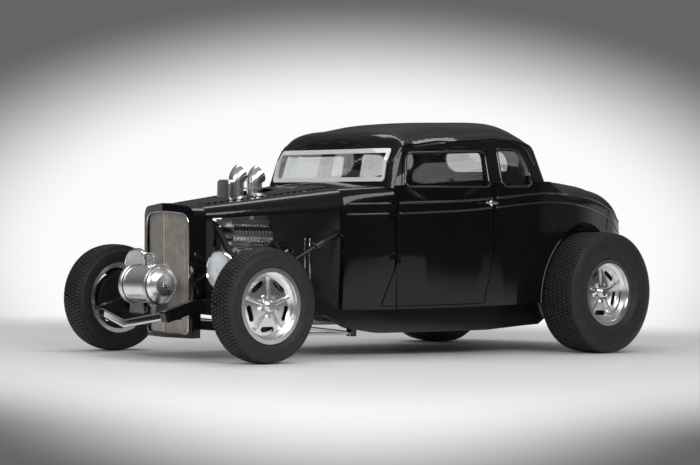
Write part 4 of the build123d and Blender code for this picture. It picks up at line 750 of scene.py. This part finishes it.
dress("carburettors", cast_bright, "bright_trim", bevel=0.0015)
dress("air_scoops", polished, "bright_trim", bevel=0.003)
HEAD_FOOT = Vector((0.830, 0.178, 0.530))
HEAD_THICKNESS = 0.044
HEAD_ACROSS = Vector((0, 1, -1)).normalized()
HEAD_OUT = Vector((0, 1, 1)).normalized()
NUT_ACROSS = (-0.072, 0.072)
NUT_PLACES = (0.024, 0.112, 0.200, 0.288, 0.376)
PLUG_PLACES = (0.060, 0.155, 0.245, 0.340)
NUT_SHAPE = [(0.0, 0.0), (0.0, 0.0095), (0.010, 0.0095), (0.015, 0.0065), (0.017, 0.0)]
PLUG_SHAPE = [(0.0, 0.0), (0.0, 0.011), (0.008, 0.011), (0.010, 0.007), (0.030, 0.006), (0.034, 0.0)]
CLAMP_SHAPE = [(-0.005, 0.0188), (0.005, 0.0188), (0.005, 0.0208), (-0.005, 0.0208)]
HOSE_ON_BODY = [(1.306, 0.130, 0.800), (1.265, 0.131, 0.799), (1.225, 0.138, 0.775), (1.192, 0.152, 0.720),
                (1.165, 0.170, 0.650), (1.140, 0.184, 0.605)]
HOSE_ON_HEAD = [(1.232, 0.193, 0.562), (1.205, 0.196, 0.550)]
HOSE_RADIUS = 0.019
LEAD_RADIUS = 0.0042
DISTRIBUTOR = Vector((0.765, 0.0, 0.560))
lead_black = finish("lead_black", (0.012, 0.012, 0.013), roughness=0.4, drift=0.1)
hose_rubber = finish("hose_rubber", (0.014, 0.014, 0.014), roughness=0.6, drift=0.25, drift_scale=20.0,
                     bump=0.15)
for side, sign in SIDES:
    across = on_side(HEAD_ACROSS, sign)
    out = on_side(HEAD_OUT, sign)
    foot = on_side(HEAD_FOOT, sign) + out * (HEAD_THICKNESS - 0.002)
    for row, v in enumerate(NUT_ACROSS):
        for k, u in enumerate(NUT_PLACES):
            turned_piece("head_nut_%s_%d_%d" % (side, row, k), NUT_SHAPE,
                         foot + Vector((u, 0, 0)) + across * v, out, chrome, steps=12,
                         sharpest=40.0)
    for k, u in enumerate(PLUG_PLACES):
        seat_point = foot + Vector((u, 0, 0))
        turned_piece("spark_plug_%s_%d" % (side, k), PLUG_SHAPE, seat_point, out, chrome,
                     steps=16)
        loom = Vector((0.800, sign * 0.118, 0.640 + 0.006 * k))
        lead = [seat_point + out * 0.026, seat_point + out * 0.050,
                seat_point + out * 0.062 + Vector((-0.012, 0, 0.010)),
                seat_point + Vector((-0.030, sign * -0.020, 0.092)),
                Vector((0.5 * (seat_point.x + loom.x), sign * 0.132, 0.650)), loom,
                loom + Vector((-0.050, sign * -0.030, -0.012)), Vector((0.735, sign * 0.050, 0.590))]
        bent_tube("plug_lead_%s_%d" % (side, k), lead, LEAD_RADIUS, lead_black, sides=8)
    hose = [on_body(x, sign * y, z) for x, y, z in HOSE_ON_BODY]
    hose += [Vector((x, sign * y, z)) for x, y, z in HOSE_ON_HEAD]
    bent_tube("radiator_hose_" + side, hose, HOSE_RADIUS, hose_rubber, sides=20)
    for k, (start, end) in enumerate((hose[:2], hose[-2:])):
        turned_piece("hose_clamp_%s_%d" % (side, k), CLAMP_SHAPE, start.lerp(end, 0.45), end - start, chrome,
                     steps=32)
distributor_rows = [(0.0, 0.0), (0.0, 0.040), (0.030, 0.044), (0.060, 0.036), (0.072, 0.022), (0.076, 0.0)]
turned_piece("distributor_cap", distributor_rows, DISTRIBUTOR, (-0.35, 0, 1), lead_black,
             steps=32)


# Body, doors, lid, cowl and hood
# Pressed steel panels in deep black paint under a clear coat, flatted and polished, with a
# belt moulding, rims round the side windows, chromed handles and a dull lining inside.
DECK_TOP = 1.042
DECK_DROP = 0.560
DECK_START = -1.150
DECK_LENGTH = 0.860
DECK_POWER = 3.2
WIDEST = 0.692
WIDEST_AT = -0.470
TAIL_REACH = 1.540
TAIL_NARROWING = 0.352
TAIL_TUCK = 0.092
SHOULDER_STARTS = -0.970
SHOULDER_FULL = -1.250
SHOULDER_ACROSS = 0.250
SHOULDER_DOWN = 0.135
ROOF_HALF = 0.616
ROOF_AHEAD = 0.666
ROOF_BEHIND = 0.438
ROOF_LIFT = 0.100
HEADER_RISE = 0.024
HEADER_WIDER = 0.075
SHARP_ACROSS = 0.02
SHARP_DOWN = 0.01
DECK_BELOW = 1.10
ROOF_ABOVE = 1.06
HEADER_ABOVE = 0.90
BENT_ABOVE = 0.95
DECK_BENT_ABOVE = 0.60
# From here on a pair is where a change starts and where it is whole.
CROWN_Z = (1.19, 1.37)
CROWN_X = (-1.04, -0.60)
HEADER_X = (0.06, 0.15)
WIDER_Z = (0.90, 1.04)
WIDER_ENDS_Y = (0.38, 0.62)
RISE_Z = (1.03, 1.23)
RISE_ENDS_Z = (1.25, 1.40)


def ramp(value, start, end):
    """A smooth step from 0 at start to 1 at end."""
    share = min(max((value - start) / (end - start), 0.0), 1.0)
    return share * share * (3 - 2 * share)


def level(point):
    """A point of the final frame in the level body's own measures."""
    x = point.x - BODY_SHIFT
    return Vector((x * cos(RAKE) - point.z * sin(RAKE), point.y, x * sin(RAKE) + point.z * cos(RAKE)))


def deck_height(x):
    """The deck's top along its middle line, which curls down to the tail."""
    share = min(max((DECK_START - x) / DECK_LENGTH, 0.0), 0.999)
    return DECK_TOP - DECK_DROP * (1 - (1 - share ** DECK_POWER) ** (1 / DECK_POWER))


def body_half(x):
    """Half the body's width behind its widest place."""
    share = (WIDEST_AT - x) / TAIL_REACH
    return WIDEST * (1 - TAIL_NARROWING * share ** 2 - TAIL_TUCK * share ** 8)


def roof_half(x):
    """Half the roof's width, ahead of its widest place and behind it."""
    ahead = max(x - WIDEST_AT, 0.0) / ROOF_AHEAD
    behind = max(WIDEST_AT - x, 0.0) / ROOF_BEHIND
    return ROOF_HALF * (1 - 0.188 * ahead ** 2 - 0.11 * behind ** 4)


def pressed_form(point):
    """Roll the deck's shoulders over, square the roof's crown and open the windshield out."""
    at = level(point)
    side = abs(at.y)
    if at.x < SHOULDER_STARTS:
        grown = ramp(at.x, SHOULDER_STARTS, SHOULDER_FULL)
        across = SHARP_ACROSS + (SHOULDER_ACROSS - SHARP_ACROSS) * grown
        down = SHARP_DOWN + (SHOULDER_DOWN - SHARP_DOWN) * grown
        u = (side - body_half(at.x) + across) / across
        v = (at.z - deck_height(at.x) + down) / down
        if u > 0 and v > 0 and at.z < DECK_BELOW:
            share = max(u, v) / (u * u + v * v) ** 0.5
            at.y = (body_half(at.x) - across + u * across * share) * (1 if at.y > 0 else -1)
            at.z = deck_height(at.x) - down + v * down * share
    if at.z > ROOF_ABOVE:
        width = min(side / roof_half(at.x), 1.0)
        at.z += ROOF_LIFT * (width ** 2 - width ** 8) * ramp(at.z, *CROWN_Z) * ramp(at.x, *CROWN_X)
    front = ramp(at.x, *HEADER_X)
    if front > 0 and at.z > HEADER_ABOVE:
        rise = ramp(at.z, *RISE_Z) * (1 - ramp(at.z, *RISE_ENDS_Z))
        at.y *= 1 + HEADER_WIDER * front * (1 - ramp(side, *WIDER_ENDS_Y)) * ramp(at.z, *WIDER_Z)
        at.z += HEADER_RISE * front * rise
    return on_body(at.x, at.y, at.z)


def pressed_reach(edge):
    """True for an edge that the pressed form bends: on the deck's shoulders or round the roof."""
    ends = [level(vert.co) for vert in edge.verts]
    high = max(end.z for end in ends)
    back = min(end.x for end in ends)
    return high > BENT_ABOVE or (back < SHOULDER_STARTS and high > DECK_BENT_ABOVE)


CAB_MIDDLE = on_body(-0.360, 0.0, 0.860)
CAB_REACH = 0.760
LINING_TURN = 0.45
cab_cloth = finish("cab_lining", (0.205, 0.215, 0.205), roughness=0.75, drift=0.06, grain_scale=900.0,
                   grain_spread=0.1, bump=0.1)
for name in ("body_shell", "cowl", "door_left", "door_right", "deck_lid", "hood_top"):
    panel = dress(name, body_black, "body_paint", bevel=0.0018, sharpest=28.0, reshape=pressed_form,
                  reach=pressed_reach)
    if name in ("deck_lid", "hood_top"):
        continue
    panel.data.materials.append(cab_cloth)
    for face in panel.data.polygons:
        inward = CAB_MIDDLE - face.center
        if abs(inward.x) < CAB_REACH and inward.normalized().dot(face.normal) > LINING_TURN:
            face.material_index = 1
BELT_LINES = [
    # x, z of a bead: the upper and the lower edge of the belt moulding, from the cowl back
    [(0.485, 0.902), (0.247, 0.908), (0.000, 0.914), (-0.197, 0.920), (-0.487, 0.938), (-0.741, 0.955),
     (-0.950, 0.968), (-1.200, 0.964), (-1.450, 0.940), (-1.650, 0.896), (-1.800, 0.832), (-1.900, 0.758)],
    [(0.485, 0.843), (0.254, 0.848), (0.028, 0.855), (-0.198, 0.863), (-0.488, 0.882), (-0.741, 0.900),
     (-0.950, 0.912), (-1.200, 0.908), (-1.450, 0.880), (-1.650, 0.832), (-1.800, 0.764), (-1.880, 0.698)],
]
BELT_PANELS = (("cowl", 0.500, 0.254), ("door", 0.226, -0.474), ("body_shell", -0.486, -1.900))
BELT_STEP = 0.020
BELT_RADIUS = 0.0075
SUNK = 0.001
WINDOW_EDGES = {
    # x, z, corner radius of the side windows' openings
    "door": [(0.119, 1.192, 0.040), (0.166, 1.016, 0.040), (-0.438, 1.018, 0.040), (-0.438, 1.210, 0.040)],
    "body_shell": [(-0.570, 1.018, 0.040), (-0.800, 1.018, 0.040), (-0.836, 1.100, 0.060),
                   (-0.770, 1.222, 0.090), (-0.570, 1.226, 0.030)],
}
WINDOW_RIM_OUT = 0.012
WINDOW_RIM_RADIUS = 0.0055
WINDOW_RIM_STEP = 0.03
bead_black = finish("black_bead_paint", (0.006, 0.006, 0.007), roughness=0.2, coat=1.0, coat_roughness=0.02,
                    drift=0.15, drift_scale=2.0, grain_scale=900.0, grain_spread=0.05)


def height_on(line, x):
    """The height of a bead at x, eased between the line's corners."""
    for (x0, z0), (x1, z1) in zip(line, line[1:]):
        if x1 <= x <= x0:
            return z0 + (z1 - z0) * (x0 - x) / (x0 - x1)
    return line[0][1] if x > line[0][0] else line[-1][1]


def window_rim(edges):
    """Points every few centimetres round a window, pushed outward from its opening's edge."""
    centre = sum((Vector(corner[:2]) for corner in edges), Vector((0, 0))) / len(edges)
    grown = [(x + (WINDOW_RIM_OUT if x > centre.x else -WINDOW_RIM_OUT),
              z + (WINDOW_RIM_OUT if z > centre.y else -WINDOW_RIM_OUT), radius) for x, z, radius in edges]
    ring = soft_corners(grown)
    spaced = []
    for here, after in zip(ring, ring[1:] + ring[:1]):
        gap = (after - here).length
        if gap > 0.001:
            steps = max(int(gap / WINDOW_RIM_STEP), 1)
            spaced += [here.lerp(after, step / steps) for step in range(steps)]
    return spaced


def on_skin(skin, spots, sign):
    """Points where a side's skin stands at each x and z of the level body, sunk a little into it."""
    points = []
    for x, z in spots:
        hit = skin.ray_cast(on_body(x, sign * 1.2, z), Vector((0, -sign, 0)), 0.9)[0]
        if hit is not None:
            points.append(hit + Vector((0, -sign * SUNK, 0)))
    return points


for side, sign in SIDES:
    for panel_name, ahead, behind in BELT_PANELS:
        panel = panel_name + "_" + side if panel_name == "door" else panel_name
        dressed = bpy.data.objects[panel + "_dressed"]
        skin = BVHTree.FromPolygons([vert.co[:] for vert in dressed.data.vertices],
                                    [face.vertices[:] for face in dressed.data.polygons])
        for k, line in enumerate(BELT_LINES):
            spots = []
            for step in range(int((ahead - behind) / BELT_STEP) + 1):
                x = ahead - BELT_STEP * step
                spots.append((x, sum(height_on(line, x + shift * BELT_STEP) for shift in (-3, -1, 1, 3)) / 4))
            bent_tube("belt_bead_%s_%s_%d" % (panel_name, side, k), on_skin(skin, spots, sign), BELT_RADIUS,
                      bead_black, nodes[panel]["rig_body"], sides=12)
        if panel_name in WINDOW_EDGES:
            bent_tube("window_rim_%s_%s" % (panel_name, side),
                      on_skin(skin, window_rim(WINDOW_EDGES[panel_name]), sign), WINDOW_RIM_RADIUS,
                      bead_black, nodes[panel]["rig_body"], sides=12, closed=True)
HANDLE_PLACE = on_body(-0.446, 0.6925, 0.908)
GRIP_MIDDLE = Vector((0.028, 0.031, 0.0))
GRIP_SIZE = (0.100, 0.011, 0.016)
GRIP_TAPER = 0.55
FIREWALL_X = 0.500
LINE_RADIUS = 0.005
LINE_PLACES = [
    # y, upper and lower end
    (0.070, 0.697, 0.507), (0.114, 0.696, 0.462),
]
for side, sign in SIDES:
    place = on_side(HANDLE_PLACE, sign)
    boss_rows = [(-0.004, 0.0), (-0.004, 0.020), (0.004, 0.019), (0.009, 0.011), (0.030, 0.009), (0.036, 0.0)]
    turned_piece("handle_boss_" + side, boss_rows, place, (0, sign, 0), chrome, "door_" + side,
                 steps=32)
    bm = bmesh.new()
    block(bm, Matrix.Translation(place + on_side(GRIP_MIDDLE, sign)), GRIP_SIZE)
    for vert in bm.verts:
        if vert.co.x > place.x + GRIP_MIDDLE.x:
            vert.co.z = place.z + (vert.co.z - place.z) * GRIP_TAPER
    bmesh.ops.bevel(bm, geom=bm.edges[:], offset=0.004, segments=3, profile=0.5, affect="EDGES", material=-1)
    bmesh.ops.recalc_face_normals(bm, faces=bm.faces)
    for face in bm.faces:
        face.smooth = True
    ready_piece("door_handle_" + side, bm, chrome, "door_" + side)
for k, (y, top, low) in enumerate(LINE_PLACES):
    line = [on_body(FIREWALL_X - 0.010, y, top + 0.012)]
    line += [on_body(FIREWALL_X, y, z) for z in (top, 0.5 * (top + low), low)]
    line.append(on_body(FIREWALL_X - 0.010, y, low - 0.012))
    bent_tube("firewall_line_%d" % k, line, LINE_RADIUS, chrome, sides=12)
floor_coat = finish("floor_coat", (0.025, 0.025, 0.026), roughness=0.6, drift=0.2, grain_scale=200.0,
                    bump=0.2)
dress("floor_pan", floor_coat, "floor_liner", bevel=0.001)


# Glass and its frame
# Clear laminated panes in the doors, the quarters and the tail, and a windshield in a bright
# frame. They take the body's pressed form with the openings that hold them.
pane = finish("window_glass", (0.80, 0.84, 0.84), roughness=0.02, drift=0.02, grain_scale=40.0,
              grain_spread=0.01, Transmission_Weight=1.0, IOR=1.2, Alpha=0.35)
for name in ("door_glass_left", "door_glass_right", "quarter_glass", "rear_glass", "windshield_glass"):
    dress(name, pane, "window_glass", reshape=pressed_form, reach=pressed_reach)
satin_bright = finish("satin_bright_trim", (0.95, 0.96, 0.97), metallic=0.5, roughness=0.45, drift=0.03,
                      grain_spread=0.05)
dress("windshield_frame", satin_bright, "bright_trim", bevel=0.002, reshape=pressed_form, reach=pressed_reach)


# Cab inside
# A pleated hide bench on a plain base, a painted dashboard with bezelled dials and a wheel
# with a black rim and polished spokes.
hide = finish("seat_leather", (0.16, 0.17, 0.165), roughness=0.45, drift=0.15, drift_scale=10.0,
              grain_scale=350.0, grain_spread=0.2, bump=0.2)
cab_grey = finish("cab_grey", (0.16, 0.16, 0.165), roughness=0.4, drift=0.08, grain_scale=500.0)
rim_black = finish("steering_rim", (0.015, 0.015, 0.015), roughness=0.25, coat=0.6, drift=0.1)
SQUAB = dict(middle=(-0.330, 0.418), half=(0.268, 0.500, 0.080), lean=-4.6, pleats=17)
BACKREST = dict(middle=(-0.655, 0.668), half=(0.208, 0.500, 0.062), lean=-110.0, pleats=17)
PLEAT_DEPTH = 0.009
BASE_MIDDLE = (-0.3325, 0.300, 0.32175)
BASE_SIZE = (0.515, 0.310, 0.0605)


def pleated_pad(bm, middle, half, lean, pleats):
    """A cushion: a cube cut finely, rounded off, and drawn in along each seam of its upper face."""
    start = set(bm.verts)
    bmesh.ops.create_cube(bm, size=2.0)
    for axis, cuts in ((1, pleats * 6 - 1), (0, 15), (2, 5)):
        whole_edges = [edge for edge in bm.edges if edge.verts[0] not in start
                       and abs(edge.verts[0].co[axis] - edge.verts[1].co[axis]) > 1]
        bmesh.ops.subdivide_edges(bm, edges=whole_edges, cuts=cuts, use_grid_fill=True)
    turn = Matrix.Rotation(radians(-lean), 4, "Y")
    for vert in bm.verts:
        if vert in start:
            continue
        a, b, c = vert.co
        soft = (abs(a) ** 7 + abs(b) ** 24 + abs(c) ** 5) ** (1 / 7)
        a, b, c = a / max(soft, 1.0), b / max(soft, 1.0) ** 0.3, c / max(soft, 1.0)
        drawn = (1 - abs(sin(pi * pleats * (b + 1) / 2)) ** 0.6) if c > 0.3 else 0.0
        local = Vector((a * half[0], b * half[1], c * half[2] - PLEAT_DEPTH * drawn))
        placed = turn @ local
        vert.co = on_body(middle[0] + placed.x, placed.y, middle[1] + placed.z)


bm = bmesh.new()
pleated_pad(bm, **SQUAB)
pleated_pad(bm, **BACKREST)
bmesh.ops.recalc_face_normals(bm, faces=bm.faces)
for face in bm.faces:
    face.smooth = True
bench = ready_piece("seat_bench", bm, hide, "chassis")
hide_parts("seat")
bm = bmesh.new()
for sign in (-1, 1):
    block(bm, tipped(on_body(BASE_MIDDLE[0], sign * BASE_MIDDLE[1], BASE_MIDDLE[2])), BASE_SIZE)
ready_piece("seat_base", bm, cab_grey, "chassis")
dress("dashboard", cab_grey, "cab_trim", bevel=0.003)
rim = dress("steering_wheel", rim_black, "wheel_rim_plastic", bevel=0.002)
rim.data.materials.append(polished)
WHEEL_MIDDLE = Vector((0.205, 0.350, 0.897))
SPOKES_REACH = 0.158
for face in rim.data.polygons:
    if (face.center - WHEEL_MIDDLE).length < SPOKES_REACH:
        face.material_index = 1
dial_black = finish("dial_black", (0.01, 0.01, 0.01), roughness=0.3, coat=1.0, drift=0.05)
dial_white = finish("dial_white", (0.75, 0.75, 0.70), roughness=0.4, drift=0.03)
DIALS = [
    # y, radius
    (0.0, 0.046), (-0.105, 0.034), (0.105, 0.034), (-0.190, 0.027), (0.190, 0.027),
]
DIAL_X = 0.2515
DIAL_Z = 0.945
DIAL_MARKS = 9
BEZEL_HALF = 0.004
for k, (y, radius) in enumerate(DIALS):
    place = on_body(DIAL_X, y, DIAL_Z)
    inner = radius - BEZEL_HALF
    outer = radius + BEZEL_HALF
    bezel_rows = [(0.0, inner), (0.007, inner), (0.009, radius), (0.007, outer), (0.0, outer)]
    turned_piece("dial_bezel_%d" % k, bezel_rows, place, (-1, 0, 0), chrome, steps=48)
    face_rows = [(0.0, 0.0), (0.0, inner), (0.003, inner), (0.003, 0.0)]
    turned_piece("dial_face_%d" % k, face_rows, place, (-1, 0, 0), dial_black, steps=48)
    bm = bmesh.new()
    for mark in range(DIAL_MARKS):
        angle = radians(-120 + 30 * mark)
        spot = place + Vector((-0.0036, (radius - 0.010) * sin(angle), (radius - 0.010) * cos(angle)))
        block(bm, Matrix.Translation(spot) @ Matrix.Rotation(-angle, 4, "X"), (0.0008, 0.0012, 0.006))
    pointer = Matrix.Translation(place + Vector((-0.0044, 0, 0)))
    pointer = pointer @ Matrix.Rotation(radians(50 + 20 * k), 4, "X")
    block(bm, pointer @ Matrix.Translation((0, 0, 0.35 * radius)), (0.0008, 0.0016, 0.8 * radius))
    ready_piece("dial_marks_%d" % k, bm, dial_white, "chassis")


# Tail lamps
# Round red glass lenses low on the tail, each in a chromed bezel that is screwed to the
# panel.
tail_red = finish("tail_lens", (0.30, 0.008, 0.008), roughness=0.12, coat=1.0, drift=0.1, grain_scale=200.0)
dress("tail_lamps", tail_red, "tail_glass", bevel=0.004)
TAIL_LAMP_PLACE = (-2.029, 0.330, 0.500)
for side, sign in SIDES:
    ring_rows = [(0.0, 0.0363), (0.022, 0.0363), (0.022, 0.0405), (0.016, 0.0430), (0.0, 0.0430)]
    x, y, z = TAIL_LAMP_PLACE
    turned_piece("tail_lamp_bezel_" + side, ring_rows, on_body(x, sign * y, z), (cos(RAKE), 0, -sin(RAKE)),
                 chrome, steps=48)
